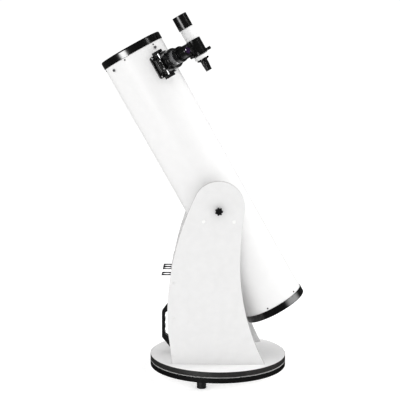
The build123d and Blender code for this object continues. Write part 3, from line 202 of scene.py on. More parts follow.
# Finishes that a piece asks for by name
finish("tube_inside_black", 0.008, 0.014, 120, (0.75, 0.9), specular=0.08)
# A lighter copy of the white laminate: painted light, so the round boards' upward faces read brighter than the
# upright boards.
finish("laminate_painted_light", (0.925, 0.922, 0.92), (0.955, 0.952, 0.95), **LAMINATE_GLOSS)
# A grey for the side boards' edge faces: a painted shade line along their outlines.
finish("board_edge_painted_shade", (0.46, 0.45, 0.44), (0.52, 0.51, 0.5), 60, (0.5, 0.6), specular=0.15)
finish("black_nickel", (0.1, 0.1, 0.105), (0.15, 0.15, 0.155), 500, (0.25, 0.35), metallic=0.3)
# A darker copy of the black edge band: painted shade on the ground board's band, which sits lower in shadow.
finish("ground_edge_band", 0.004, (0.007, 0.007, 0.0068), 120, (0.34, 0.46), specular=0.1)
finish("dark_chrome", (0.6, 0.6, 0.61), (0.7, 0.7, 0.71), 260, (0.16, 0.24), metallic=0.8, specular=0.8)


# ---- Outlines ----
def eased(points, corner_steps=4, share=0.49):
    """A closed outline with rounded corners; a third number in a corner is its radius. A corner
    takes up to a share of its sides."""
    made = []
    count = len(points)
    for index, point in enumerate(points):
        corner = Vector(point[:2])
        if len(point) < 3:
            made.append(corner)
            continue
        back = Vector(points[index - 1][:2]) - corner
        ahead = Vector(points[(index + 1) % count][:2]) - corner
        angle = back.angle(ahead)
        if angle > pi - 0.02:
            made.append(corner)
            continue
        reach = min(point[2] / tan(angle / 2), share * back.length, share * ahead.length)
        real = reach * tan(angle / 2)
        centre = corner + (back.normalized() + ahead.normalized()).normalized() * (real / sin(angle / 2))
        start = corner + back.normalized() * reach - centre
        end = corner + ahead.normalized() * reach - centre
        first = atan2(start.y, start.x)
        turn = (atan2(end.y, end.x) - first + pi) % (2 * pi) - pi
        for step in range(corner_steps + 1):
            way = first + turn * step / corner_steps
            made.append(centre + Vector((cos(way), sin(way))) * real)
    return made


def arc(centre, radius, start, end, steps=24):
    """Points of an arc between two angles in degrees."""
    turns = [radians(start + (end - start) * step / steps) for step in range(steps + 1)]
    return [Vector((centre[0] + radius * cos(turn), centre[1] + radius * sin(turn))) for turn in turns]


def tangent_arc(start, end, heading, steps=28):
    """Points of the arc that leaves start along a heading and reaches end, without its start."""
    start, end, heading = Vector(start), Vector(end), Vector(heading).normalized()
    side = Vector((-heading.y, heading.x))
    chord = end - start
    radius = chord.length_squared / (2 * side.dot(chord))
    centre = start + side * radius
    first = atan2(start.y - centre.y, start.x - centre.x)
    last = atan2(end.y - centre.y, end.x - centre.x)
    turn = (last - first + pi) % (2 * pi) - pi
    turns = [first + turn * step / steps for step in range(1, steps + 1)]
    return [centre + Vector((cos(way), sin(way))) * abs(radius) for way in turns]


def boundary(way, half_x, half_y, corner):
    """Distance from the middle to a rounded rectangle's edge in a direction."""
    c, s = abs(cos(way)), abs(sin(way))
    reach = min(half_x / max(c, 1e-9), half_y / max(s, 1e-9))
    inner_x, inner_y = half_x - corner, half_y - corner
    if corner > 0 and reach * c > inner_x and reach * s > inner_y:
        middle = c * inner_x + s * inner_y
        reach = middle + sqrt(max(middle**2 - inner_x**2 - inner_y**2 + corner**2, 0.0))
    return reach


def anticlockwise(points):
    area = sum(a.x * b.y - b.x * a.y for a, b in zip(points, points[1:] + points[:1]))
    return points if area > 0 else points[::-1]


def inset(points, amount):
    """A closed anticlockwise outline moved inwards."""
    made = []
    count = len(points)
    for index, point in enumerate(points):
        back = (point - points[index - 1]).normalized()
        ahead = (points[(index + 1) % count] - point).normalized()
        normal_back, normal_ahead = Vector((-back.y, back.x)), Vector((-ahead.y, ahead.x))
        both = normal_back + normal_ahead
        made.append(point + both * (amount / max(1 + normal_back.dot(normal_ahead), 0.35)))
    return made


# ---- Pieces ----
SHARP = 32.0  # degrees from which an edge is drawn hard


class Piece:
    """A mesh under construction, in a local frame of millimetres, with named finishes or its slot's."""

    def __init__(self, place, *finishes):
        self.place = place
        self.finishes = finishes
        self.mesh = bmesh.new()

    def rings(self, rings, closed=False, capped=False, slot=0):
        """Joins rings of points, each closed round; a ring of one point is a pole."""
        rows = [[self.mesh.verts.new(point) for point in ring] for ring in rings]
        pairs = list(zip(rows, rows[1:]))
        if closed:
            pairs.append((rows[-1], rows[0]))
        faces = []
        for low, high in pairs:
            for k in range(max(len(low), len(high))):
                corners = [low[k % len(low)], low[(k + 1) % len(low)]]
                corners += [high[(k + 1) % len(high)], high[k % len(high)]]
                corners = list(dict.fromkeys(corners))
                if len(corners) > 2:
                    faces.append(self.mesh.faces.new(corners))
        if capped:
            faces += [self.mesh.faces.new(rows[0][::-1]), self.mesh.faces.new(rows[-1])]
        for face in faces:
            face.material_index = slot
            face.smooth = True
        bmesh.ops.recalc_face_normals(self.mesh, faces=faces)

    def fluted(self, profile, lobes, depth, at=Matrix(), per_lobe=10, sharpness=1.0, slot=0):
        """A turned shape whose (radius, height, share) rings are pulled in between its lobes. It is
        closed on itself if it never meets its axis."""
        ways = [2 * pi * k / (lobes * per_lobe) for k in range(lobes * per_lobe)]
        made = []
        for radius, height, share in profile:
            if radius < TINY:
                made.append([at @ Vector((0, 0, height))])
                continue
            ring = []
            for way in ways:
                reach = radius - (0.5 - 0.5 * cos(lobes * way)) ** sharpness * depth * share
                ring.append(at @ Vector((reach * cos(way), reach * sin(way), height)))
            made.append(ring)
        self.rings(made, closed=min(point[0] for point in profile) > TINY, slot=slot)

    def turned(self, profile, at=Matrix(), steps=96, slot=0, **easing):
        """A turned shape from (radius, height) or (radius, height, corner radius)."""
        rings = [(point.x, point.y, 0) for point in eased(profile, **easing)]
        self.fluted(rings, steps, 0, at, per_lobe=1, slot=slot)

    def rod(self, radius, low, high, at=Matrix(), steps=32):
        self.turned([(0, low), (radius, low), (radius, high), (0, high)], at, steps)

    def prism(self, outline, low, high, at=Matrix(), edge=0.0, steps=3, corner_steps=4):
        """An outline between two heights, with its rims rounded off."""
        outline = anticlockwise(eased(outline, corner_steps))
        turns = [pi / 2 * step / steps for step in range(steps + 1)]
        levels = [(edge * (1 - sin(way)), low + edge * (1 - cos(way))) for way in turns]
        levels += [(edge * (1 - cos(way)), high - edge * (1 - sin(way))) for way in turns]
        made = []
        for amount, height in levels if edge else [(0, low), (0, high)]:
            ring = inset(outline, amount) if amount > TINY else outline
            made.append([at @ Vector((point.x, point.y, height)) for point in ring])
        self.rings(made, capped=True)

    def plinth(self, half_x, half_y, corner, hole, low, high, edge, at=Matrix(), steps=144):
        """A rounded rectangle with a round hole, between two heights that may be functions of (x, y)."""
        top = high if callable(high) else (lambda x, y: high)
        bottom = low if callable(low) else (lambda x, y: low)
        levels = [(share / 6, 0.0, top, 0.0) for share in range(6)]
        for step in range(4):
            way = pi / 2 * step / 3
            levels.append((1.0, edge * (1 - sin(way)), top, edge * (1 - cos(way))))
        levels += [(share / 6, 0.0, bottom, 0.0) for share in range(6, -1, -1)]
        made = []
        for share, pulled, surface, drop in levels:
            ring = []
            for way in (2 * pi * k / steps for k in range(steps)):
                outer = boundary(way, half_x - pulled, half_y - pulled, max(corner - pulled, 0.1))
                reach = hole + (outer - hole) * share
                x, y = reach * cos(way), reach * sin(way)
                ring.append(at @ Vector((x, y, surface(x, y) - drop)))
            made.append(ring)
        self.rings(made, closed=True)

    def box(self, x, y, z, edge=0.4, at=Matrix()):
        """A block between (low, high) pairs with rounded edges."""
        corners = [(x[0], y[0], edge), (x[1], y[0], edge), (x[1], y[1], edge), (x[0], y[1], edge)]
        self.prism(corners, z[0], z[1], at, edge, corner_steps=3)

    def line(self, radius):
        """Gives the second finish to the faces that lie nearer the axis than a radius."""
        for face in self.mesh.faces:
            middle = face.calc_center_median()
            face.material_index = 1 if hypot(middle.x, middle.y) < radius else 0

    def copy(self, mesh, at=Matrix(), slot=0):
        """A copy of a finished mesh in this piece's frame."""
        part = bmesh.new()
        part.from_mesh(mesh)
        part.transform(at)
        shared = {vertex: self.mesh.verts.new(vertex.co) for vertex in part.verts}
        for face in part.faces:
            made = self.mesh.faces.new([shared[vertex] for vertex in face.verts])
            made.material_index = slot + face.material_index
            made.smooth = True
        part.free()

    def raw(self, name):
        """The mesh alone, to be copied or cut with."""
        mesh = bpy.data.meshes.new(name)
        self.mesh.to_mesh(mesh)
        self.mesh.free()
        return mesh

    def done(self, name, *nodes, cut=None):
        """The finished piece: it stands for its CAD nodes and rides on their body."""
        mesh = self.raw(name)
        made = bpy.data.objects.new(name, mesh)
        bpy.context.scene.collection.objects.link(made)
        if cut is not None:
            carve(made, cut)
            mesh = made.data
        mesh.transform(self.place)
        slot = slot_of[nodes[0]]
        for surface in self.finishes or (slot,):
            mesh.materials.append(FINISHES[surface])
        mesh.shade_smooth()
        mesh.set_sharp_from_angle(angle=radians(SHARP))
        level = made.modifiers.new("even_normals", "WEIGHTED_NORMAL")
        level.keep_sharp = True
        level.weight = 90
        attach(made, body_of[nodes[0]])
        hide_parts(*nodes)


def carve(made, cutter):
    """Takes a cutter mesh out of an object's mesh."""
    tool = bpy.data.objects.new("cutter", cutter)
    bpy.context.scene.collection.objects.link(tool)
    step = made.modifiers.new("cut", "BOOLEAN")
    step.object = tool
    step.operation = "DIFFERENCE"
    step.solver = "EXACT"
    bpy.context.view_layer.update()
    cut = bpy.data.meshes.new_from_object(made.evaluated_get(bpy.context.evaluated_depsgraph_get()))
    made.modifiers.clear()
    made.data = cut
    bpy.data.objects.remove(tool)


def cut_mesh(mesh, cutter):
    """A mesh with a cutter mesh taken out of it."""
    made = bpy.data.objects.new("blank", mesh)
    bpy.context.scene.collection.objects.link(made)
    carve(made, cutter)
    mesh = made.data
    bpy.data.objects.remove(made)
    return mesh


def pan_head(radius, height):
    """A domed screw head with a cross recess, its underside sunk a little below z = 0."""
    sunk = 0.4
    head = Piece(ROW)
    ways = [radians(angle) for angle in (15, 30, 45, 60, 75)]
    dome = [(radius * cos(way), height * (0.25 + 0.75 * sin(way))) for way in ways]
    head.turned([(0, -sunk), (radius, -sunk), (radius, 0.25 * height), *dome, (0, height)], steps=28)
    cross = Piece(ROW)
    arm, half = 0.6 * radius, 0.13 * radius
    star = [(half, half), (half, arm), (-half, arm), (-half, half), (-arm, half), (-arm, -half)]
    star += [(-half, -half), (-half, -arm), (half, -arm), (half, -half), (arm, -half), (arm, half)]
    cross.prism(star, 0.45 * height, 2 * height)
    return cut_mesh(head.raw("pan_head"), cross.raw("cross"))


def thumbscrew(name, node, place, shank, head):
    """A knurled thumbscrew from two (radius, length) pairs; its head stands on z = 0."""
    screw = Piece(place)
    screw.rod(shank[0], -shank[1], 1, steps=24)
    radius, height = head
    rim, dish = 0.12 * radius, height - 0.8
    profile = [(0, 0, 0), (radius - rim, 0, 0.4), (radius, rim, 1), (radius, height - rim, 1)]
    profile += [(radius - rim, height, 0.4), (0.55 * radius, height, 0), (0.45 * radius, dish, 0)]
    screw.fluted([*profile, (0, dish, 0)], 20, 0.09 * radius, per_lobe=6)
    screw.done(name, node)


def turned_piece(name, node, place, profile, steps=96, finishes=(), **easing):
    piece = Piece(place, *finishes)
    piece.turned(profile, steps=steps, **easing)
    piece.done(name, node)


def lens(name, node, place, radius, back, rim, bulge):
    """A glass with a flat back at one height, a rim up to another and a domed front."""
    dome = [(radius * k / 12, rim + bulge * (1 - (k / 12) ** 2)) for k in range(12, -1, -1)]
    turned_piece(name, node, place, [(0, back), (radius, back), *dome])


# ---- Base ----
BOARD_R, BAND_T, EASE = 255.0, 1.0, 0.2
GROUND, TURNTABLE = (27.0, 45.75), (49.25, 68.0)  # (low, high) of each board
TURN_TOP = TURNTABLE[1]
FIRST_FOOT = 254.6  # angle of the first foot and its pad


def round_board(word, levels, hole, *band_finish):
    """A laminated disc with a bore, and the band round its edge."""
    low, high = levels
    edge = BOARD_R - BAND_T
    board = [(hole, low), (edge - EASE, low), (edge, low + EASE), (edge, high - EASE)]
    board += [(edge - EASE, high), (hole, high)]
    # The disc takes the lighter copy of the laminate, painted light on its top.
    turned_piece(f"{word}_disc", f"{word}_board", ROW, board, 256, ("laminate_painted_light",))
    band = [(edge, low), (BOARD_R, low, 0.7), (BOARD_R, high, 0.7), (edge, high)]
    turned_piece(f"{word}_disc_band", f"{word}_edge_band", ROW, band, 256, band_finish)


# The ground board's band takes the darker copy of the black edge band as painted shade.
round_board("ground", GROUND, 5.0, "ground_edge_band")
round_board("turntable", TURNTABLE, 8.0)

FOOT_R, FOOT_NECK_R, FOOT_OUT, PAD_OUT = 17.0, 16.2, 227, 197
SCREW_R, SCREW_POCKET_R, SCREW_POCKET = 2.5, 6, 8
feet = Piece(ROW)
for place in spread(3, FIRST_FOOT, FOOT_OUT):
    sole = [(SCREW_POCKET_R, SCREW_POCKET), (SCREW_POCKET_R, 0.8), (7, 0), (FOOT_R, 0, 1.5), (FOOT_R, 7, 0.4)]
    sole += [(FOOT_NECK_R, 7.6, 0.3), (FOOT_NECK_R, 9, 0.3), (FOOT_R, 9.6, 0.4), (FOOT_R, GROUND[0])]
    feet.turned([*sole, (SCREW_R, GROUND[0]), (SCREW_R, SCREW_POCKET)], place, steps=64)
feet.done("round_feet", "feet")

pads = Piece(ROW)
for place in spread(3, FIRST_FOOT, PAD_OUT):
    corners = [(-12, -20, 3), (12, -20, 3), (12, 20, 3), (-12, 20, 3)]
    pads.prism(corners, GROUND[1], GROUND[1] + 3.4, place, 0.5)
pads.done("slick_pads", "azimuth_pads")

HEX_R = 9.8
BOLT_R, THREAD_ROOT_R, PITCH = 4.95, 4.3, 0.8
WASHER_R, WASHER_TOP, NUT_TOP = 14, TURN_TOP + 2.1, TURN_TOP + 9.1
HEXAGON = [(HEX_R * cos(radians(60 * k)), HEX_R * sin(radians(60 * k))) for k in range(6)]
bolt = Piece(ROW)
bolt.prism(HEXAGON, GROUND[0] - 6.5, GROUND[0], edge=0.6)
thread = [(0, GROUND[0]), (5, GROUND[0])]
for turn in range(5):
    level = NUT_TOP + 0.2 + PITCH * turn
    thread += [(BOLT_R, level), (THREAD_ROOT_R, level + PITCH / 2)]
bolt.turned([*thread, (4.2, TURN_TOP + 13.8), (0, TURN_TOP + 13.8)], steps=48)
bolt.done("azimuth_bolt_thread", "azimuth_bolt")

nut = Piece(ROW)
washer = [(5, TURN_TOP + 0.1), (WASHER_R, TURN_TOP + 0.1, 0.5), (WASHER_R, WASHER_TOP, 0.5)]
nut.turned([*washer, (5, WASHER_TOP)], steps=64)
nut.prism(HEXAGON, WASHER_TOP, NUT_TOP, edge=0.8)
nut.done("azimuth_hex_nut", "azimuth_nut")

# ---- Rocker box ----
BOARD_T = 15
SIDE_INNER, SIDE_OUTER = 142.0, 157.0
PIVOT_Z = 632.0
HEAD, HEAD_R = (0.0, PIVOT_Z + 14), 92.5
HEAD_BACK, HEAD_FRONT = -8.0, 154.0  # ends of the head's arc, in degrees
BULGE_X, BULGE_TOP, BULGE_LOW = -184.8, 270, 205
SOLE_FRONT, SOLE_BACK = Vector((-167, TURN_TOP)), Vector((169, TURN_TOP))
WAIST = Vector((77, 440))
FRONT_X, FRONT_FACE, FRONT_TOP = -163.0, -170.5, 430
SUPPORT_X, SUPPORT_Z = 54.25, 593.4


def side_outline():
    """A round head, a hollow back edge, a swelling front edge."""
    outline = arc(HEAD, HEAD_R, HEAD_BACK, HEAD_FRONT, 60)
    front_heading = (-sin(radians(HEAD_FRONT)), cos(radians(HEAD_FRONT)))
    outline += tangent_arc(outline[-1], (BULGE_X, BULGE_TOP), front_heading, 36)
    outline += [Vector((BULGE_X, BULGE_LOW)), SOLE_FRONT, SOLE_BACK]
    down = tangent_arc(outline[0], WAIST, (sin(radians(HEAD_BACK)), -cos(radians(HEAD_BACK))), 24)
    down += tangent_arc(WAIST, SOLE_BACK, (0, -1), 30)[:-1]
    return outline + down[::-1]


screw_cut = Piece(NEAR)
SCREW_SPOTS = [(FRONT_X, z) for z in (98, 240, 370)]
SEAT_R, SEAT_DEPTH = 3.9, 1.2
for x, z in SCREW_SPOTS:
    for low, high in ((SIDE_OUTER - SEAT_DEPTH, SIDE_OUTER + 1), (-SIDE_OUTER - 1, -SIDE_OUTER + SEAT_DEPTH)):
        screw_cut.rod(SEAT_R, low, high, shift(x, z))
screw_seats = screw_cut.raw("screw_seats")
for word, low in (("near", SIDE_INNER), ("far", -SIDE_OUTER)):
    cheek = Piece(NEAR, "white_laminate", "board_edge_painted_shade")
    cheek.prism(side_outline(), low, low + BOARD_T, edge=0.9)
    # The edge faces and their rounding take the grey, a painted shade line round the board's outline.
    for face in cheek.mesh.faces:
        face.material_index = 0 if abs(face.normal.z) > 0.95 else 1
    cheek.done(f"{word}_cheek", f"side_board_{word}", cut=screw_seats.copy())

apron = Piece(ROW)
apron.box((FRONT_FACE, FRONT_FACE + BOARD_T), (-SIDE_INNER, SIDE_INNER), (TURN_TOP, FRONT_TOP), 0.9)
apron.done("front_apron", "front_board")

flush_head = pan_head(3.6, 1.0)
screws = Piece(NEAR)
for x, z in SCREW_SPOTS:
    screws.copy(flush_head, shift(x, z, SIDE_OUTER - 1.1))
    screws.copy(flush_head, shift(x, z, -SIDE_OUTER + 1.1) @ FLIP)
screws.done("cheek_screws", "board_screws")

ROLLER_R, ROLLER_END = 13.5, 125.5
CAP_R = 6.2
cylinders = Piece(NEAR)
caps = Piece(NEAR)
for x in (-SUPPORT_X, SUPPORT_X):
    for side in (Matrix(), FLIP):
        at = shift(x, SUPPORT_Z) @ side
        roller = [(0, ROLLER_END), (ROLLER_R - 1.5, ROLLER_END, 0.5), (ROLLER_R, ROLLER_END + 1.5, 0.5)]
        roller += [(ROLLER_R, SIDE_INNER), (0, SIDE_INNER)]
        cylinders.turned(roller, at, steps=72)
        button = [(0, SIDE_OUTER - 1), (CAP_R, SIDE_OUTER - 1), (CAP_R, SIDE_OUTER + 0.3)]
        button += [(CAP_R - 0.3, SIDE_OUTER + 0.7), (5.0, SIDE_OUTER + 1.0), (3.0, SIDE_OUTER + 1.17)]
        button.append((0, SIDE_OUTER + 1.2))
        caps.turned(button, at, steps=48)
cylinders.done("support_rollers", "support_cylinders")
caps.done("round_caps", "screw_caps")

# Carry handle with finger scallops on its inner face
GRIP_OUT, GRIP_IN = 40.8, 27.5
GRIP_LOW, GRIP_TOP = 130.0, 227.0
OPEN_LOW, OPEN_TOP = 140.0, 224.0
ARM_LOW, ARM_TOP, ARM_FOOT = 82.0, 278.0, 32
ELBOW_OUT, ELBOW_LOW, ELBOW_TOP = 19.5, 134.5, 230
FINGER_PITCH, FINGER_DEPTH = 26.5, 1.9


grip = [(0, ARM_TOP), (-3, ARM_TOP, 2), (-GRIP_OUT, GRIP_TOP, 9), (-GRIP_OUT, GRIP_LOW, 9)]
grip += [(-3, ARM_LOW, 2), (0, ARM_LOW), (0, ARM_LOW + ARM_FOOT), (-9, ARM_LOW + ARM_FOOT, 4)]
grip += [(-ELBOW_OUT, ELBOW_LOW, 5), (-GRIP_IN, OPEN_LOW, 3)]
for step in (-1, 0, 1):
    middle = (OPEN_LOW + OPEN_TOP) / 2 + FINGER_PITCH * step
    for out, along, corner in ((0, -8.8, 3), (FINGER_DEPTH, -4.6, 4), (FINGER_DEPTH, 4.6, 4), (0, 8.8, 3)):
        grip.append((-GRIP_IN - out, middle + along, corner))
grip += [(-GRIP_IN, OPEN_TOP, 3), (-ELBOW_OUT, ELBOW_TOP, 5)]
grip += [(-9, ARM_TOP - ARM_FOOT, 4), (0, ARM_TOP - ARM_FOOT)]
handle = Piece(NEAR @ shift(FRONT_FACE))
handle.prism(grip, -16, 16, edge=1.2, steps=4, corner_steps=6)
handle.done("grip_handle", "carry_handle")

# Eyepiece rack: two shelves with round seats on one strip
RACK_Z = 389.0
RACK_LIP = FRONT_FACE - 36.0
RACK_SEAT_X = FRONT_FACE - 18.5
BORE_R = 16.2
rack = Piece(ROW)
for (low, high), spots in (((5.0, 96.0), (70.5, 27.0)), ((-103.0, -54.0), (-78.5,))):
    plate = Piece(ROW)
    outline = [(RACK_LIP - 0.5, low, 3), (FRONT_FACE - 0.8, low), (FRONT_FACE - 0.8, high)]
    plate.prism([*outline, (RACK_LIP - 0.5, high, 3)], RACK_Z - 3, RACK_Z, edge=0.5)
    seats = Piece(ROW)
    for y in spots:
        bore = [(0, RACK_Z - 4), (BORE_R, RACK_Z - 4), (BORE_R, RACK_Z - 0.8), (BORE_R + 0.8, RACK_Z + 0.2)]
        seats.turned([*bore, (0, RACK_Z + 0.2)], shift(RACK_SEAT_X, y), steps=72)
    rack.copy(cut_mesh(plate.raw("plate"), seats.raw("seats")))
    rack.box((RACK_LIP - 1.5, RACK_LIP), (low, high), (RACK_Z - 5, RACK_Z - 0.3), 0.5)
rack.box((FRONT_FACE - 1.5, FRONT_FACE), (-103, 96), (RACK_Z - 22, RACK_Z), 0.4)
rack.done("rack_shelf", "eyepiece_rack")

fitting_head = pan_head(4.6, 2.6)
forwards = facing((0, 1, 0), (-1, 0, 0))
fittings = Piece(ROW)
for y in (-9, 9):
    for z in (97.0, 264.0):
        fittings.copy(fitting_head, shift(FRONT_FACE - 9, y, z) @ forwards)
for y in (-40.0, 48.75):
    fittings.copy(fitting_head, shift(FRONT_FACE - 1.5, y, RACK_Z - 14) @ forwards)
fittings.done("fitting_screw_heads", "fitting_screws")

# ---- Optical tube ----
TUBE_R, TUBE_T = 117.5, 1
RING_R = 119.7
SKIRT_R, SKIRT = 113.5, 15
FRONT_EDGE, FRONT_END = 636.0, 664.0
REAR_EDGE, REAR_END = -414.0, -441.0
TUBE_LOW, TUBE_TOP = -436.0, 655.0

hole = Piece(TUBE)
hole.rod(31, 90, 140, TUBE.inverted() @ FOCUS, steps=96)
shell = Piece(TUBE, "tube_white", "tube_inside_black")
heights = [TUBE_LOW + (TUBE_TOP - TUBE_LOW) * k / 12 for k in range(13)]
shell.turned([(TUBE_R, h) for h in heights] + [(TUBE_R - TUBE_T, h) for h in heights[::-1]], steps=240)
shell.line(TUBE_R - 0.55)
shell.done("white_tube", "tube_shell", cut=hole.raw("focuser_hole"))


def end_ring(word, edge, rim, inward, shell_end, rim_corner, lip_corner, **easing):
    """A ring over a tube's end, with a skirt inside the tube."""
    skirt_end = edge + inward * SKIRT
    profile = [(TUBE_R, edge), (RING_R, edge, 0.8), (RING_R, rim, rim_corner), (SKIRT_R, rim, lip_corner)]
    profile += [(SKIRT_R, skirt_end, 0.4), (TUBE_R - TUBE_T, skirt_end, 0.4), (TUBE_R - TUBE_T, shell_end)]
    profile.append((TUBE_R, shell_end))
    turned_piece(f"{word}_end_ring", f"{word}_ring", TUBE, profile, 240, **easing)


end_ring("front", FRONT_EDGE, FRONT_END, -1, TUBE_TOP, 5.5, 0.5, corner_steps=7, share=0.9)
end_ring("rear", REAR_EDGE, REAR_END, 1, TUBE_LOW, 3, 1, corner_steps=6)

tube_head = pan_head(3.0, 1.8)
SADDLE_R = 121.5
FOCUSER_ANGLE = -45
heads = Piece(TUBE, "black_screw", "bright_chrome")
for s, first in ((FRONT_EDGE - 7, 15), (REAR_EDGE + 7, 19)):
    for count in range(6):
        heads.copy(tube_head, around(first + 60 * count, s, TUBE_R))
for s in (FOCUSER_S - 36, FOCUSER_S + 36):
    for aside in (-17.5, 17.5):
        heads.copy(tube_head, around(FOCUSER_ANGLE + aside, s, SADDLE_R), slot=1)
for s in (527.0, 563.0):
    heads.copy(tube_head, around(0, s, SADDLE_R))
heads.done("tube_screw_heads", "tube_screws")

# Altitude hubs
HUB_DISC_R = hypot(SUPPORT_X, PIVOT_Z - SUPPORT_Z) - 13.8
HUB_BORE, FLANGE_R = 4.05, 60
FLANGE_TOP, HUB_FACE, POCKET_FACE = 124.0, 141.4, 135.4
POCKET_IN, POCKET_OUT = 16, 44


def altitude_hub(word, side):
    """A flange that hugs the tube and a round running disc with a ribbed face."""
    hub = Piece(placed(PIVOT, (1, 0, 0), (0, side, 0)))

    def on_tube(x, y):
        """How high the tube's surface stands over a point of the hub's plane."""
        off_axis = ACROSS.x * x + ACROSS.z * y * -side
        return sqrt(max((TUBE_R + 0.1) ** 2 - off_axis**2, 0.0))

    hub.plinth(FLANGE_R, FLANGE_R, FLANGE_R - 0.1, HUB_BORE, on_tube, FLANGE_TOP, 1.5, steps=120)
    disc = [(HUB_BORE, FLANGE_TOP - 2), (HUB_DISC_R, FLANGE_TOP - 2), (HUB_DISC_R, HUB_FACE, 1.2)]
    disc += [(POCKET_OUT, HUB_FACE, 0.5), (POCKET_OUT, POCKET_FACE, 0.5), (POCKET_IN, POCKET_FACE, 0.5)]
    hub.turned([*disc, (POCKET_IN, HUB_FACE, 0.5), (HUB_BORE, HUB_FACE)], steps=120)
    for place in spread(12):
        hub.box((POCKET_IN - 0.5, POCKET_OUT + 0.5), (-1.2, 1.2), (134, HUB_FACE - 0.8), 0.4, place)
    hub.done(f"{word}_hub", f"altitude_hub_{word}")


altitude_hub("near", -1)
altitude_hub("far", 1)


def lobed_knob(name, node, place, shank, neck, grip, lobes):
    """A lobed hand knob below its stud: shank (radius, length), neck and grip (radius, height)."""
    knob = Piece(place)
    stud_r, stud_top = shank
    neck_r, top = neck[0], -neck[1]
    radius, face = grip[0], top - grip[1]
    stud = [(0, stud_top), (stud_r, stud_top - 0.5), (stud_r, 0), (neck_r - 0.4, 0), (neck_r, -0.4)]
    knob.turned([*stud, (neck_r, top - 1), (0, top - 1)], steps=48)
    profile = [(0, top, 0), (0.7 * radius, top, 0), (radius - 1.2, top, 0.8), (radius - 0.3, top - 0.4, 1)]
    profile += [(radius, top - 1.2, 1), (radius, face + 2.2, 1), (radius - 0.5, face + 1.0, 1)]
    profile += [(radius - 1.6, face + 0.2, 0.9), (radius - 2.6, face, 0.8), (0.46 * radius, face, 0)]
    profile += [(0.42 * radius, face + 0.5, 0), (0.40 * radius, face + 1.4, 0), (0, face + 1.4, 0)]
    knob.fluted(profile, lobes, 0.24 * radius, per_lobe=16, sharpness=1.3)
    knob.done(name, node)


KNOB_SEAT = 158
for side, word in ((-1, "near"), (1, "far")):
    place = placed((0, side * KNOB_SEAT * MM, PIVOT.z), (1, 0, 0), (0, -side, 0))
    lobed_knob(f"{word}_star_knob", f"tension_knob_{word}", place, (4, 36), (8.5, 5), (14.5, 16), 7)

# Mirror end
MIRROR_R, MIRROR_RIM, BOWL_DEPTH = 101.6, -375, 2.244
CELL_TOP, CELL_LOW = -403, -411
SPRING_OUT = 75
mirror = Piece(TUBE, "mirror_silver", "slick_white")
reaches = [101.0 * k / 12 for k in range(13)]
bowl = [(reach, MIRROR_RIM - BOWL_DEPTH * (1 - (reach / MIRROR_R) ** 2)) for reach in reaches]
back = [(MIRROR_R, MIRROR_RIM - 0.6), (MIRROR_R, CELL_TOP + 0.4), (MIRROR_R - 0.4, CELL_TOP), (0, CELL_TOP)]
mirror.turned([*bowl, *back], steps=180)
for face in mirror.mesh.faces:
    middle = face.calc_center_median()
    if middle.z < -375.5 and (middle.z < -378 or hypot(middle.x, middle.y) > 101):
        face.material_index = 1
mirror.done("main_mirror", "primary_mirror")


def drilled(name, node, radius, low, high, holes):
    """A round plate with round openings: holes are (radius, distance out, count, first angle)."""
    plate = Piece(TUBE)
    rim = [(0, low), (radius, low, 0.6), (radius, high, 0.6), (0, high)]
    plate.turned(rim, steps=180)
    tools = Piece(TUBE)
    for size, out, count, first in holes:
        for place in spread(count, first, out):
            tools.rod(size, low - 1, high + 1, place, steps=72)
    plate.done(name, node, cut=tools.raw("tools"))


SCREW_HOLES = (3.05, SPRING_OUT, 3, 0)
drilled("mirror_plate", "mirror_cell", 108, CELL_LOW, CELL_TOP, [(17, 55, 6, 30), SCREW_HOLES])
drilled("rear_plate", "rear_cell", SKIRT_R, -427, -421, [(26, 60, 3, 60), (18, 0, 1, 0), SCREW_HOLES])

CLIP_TOP = -372.5
clips = Piece(TUBE)
for place in spread(3, 60):
    clips.box((101.7, 107.3), (-8, 8), (CELL_TOP, CLIP_TOP), 0.5, place)
    clips.box((95.5, 107.1), (-8, 8), (CLIP_TOP - 2.2, CLIP_TOP), 0.5, place)
clips.done("clip_blocks", "mirror_clips")

COIL_R, WIRE_R, COIL_TURNS, COIL_LOW, COIL_LENGTH = 7, 0.9, 2.5, -420, 8.1
springs = Piece(TUBE)
for place in spread(3, 0, SPRING_OUT):
    coil = []
    for step in range(81):
        way = 2 * pi * COIL_TURNS * step / 80
        out = Vector((cos(way), sin(way), 0))
        centre = Vector((COIL_R * cos(way), COIL_R * sin(way), COIL_LOW + COIL_LENGTH * step / 80))
        turns = [2 * pi * m / 10 for m in range(10)]
        coil.append([place @ (centre + (out * cos(t) + Vector((0, 0, sin(t)))) * WIRE_R) for t in turns])
    springs.rings(coil, capped=True)
springs.done("coil_springs", "collimation_springs")

for k, place in enumerate(spread(3, 0, SPRING_OUT, -427.2), 1):
    lobed_knob(f"rear_knob_{k}", f"collimation_knob_{k}", TUBE @ place, (3, 21), (6, 1.5), (11, 9), 6)

# Spider and secondary
SPIDER_S = 616.5
SECONDARY_R, FLAT_T = 23.5, 9
HOLDER_TOP, SPIDER_LOW, SPIDER_HIGH = 591, 601, 631
vanes = Piece(TUBE)
spool = [(0, SPIDER_LOW), (15, SPIDER_LOW, 0.8), (15, SPIDER_HIGH, 0.8), (0, SPIDER_HIGH)]
vanes.turned(spool, steps=72)
for k, place in enumerate(spread(4, 45)):
    vanes.box((10, 110.2), (-0.5, 0.5), (SPIDER_LOW + 3, SPIDER_HIGH - 2), 0.2, place)
    stud = [(0, 104), (2, 104), (2, 121), (1.6, 121.5), (0, 121.5)]
    vanes.turned(stud, around(45 + 90 * k, SPIDER_S, 0), steps=32)
vanes.done("spider_vanes", "spider")

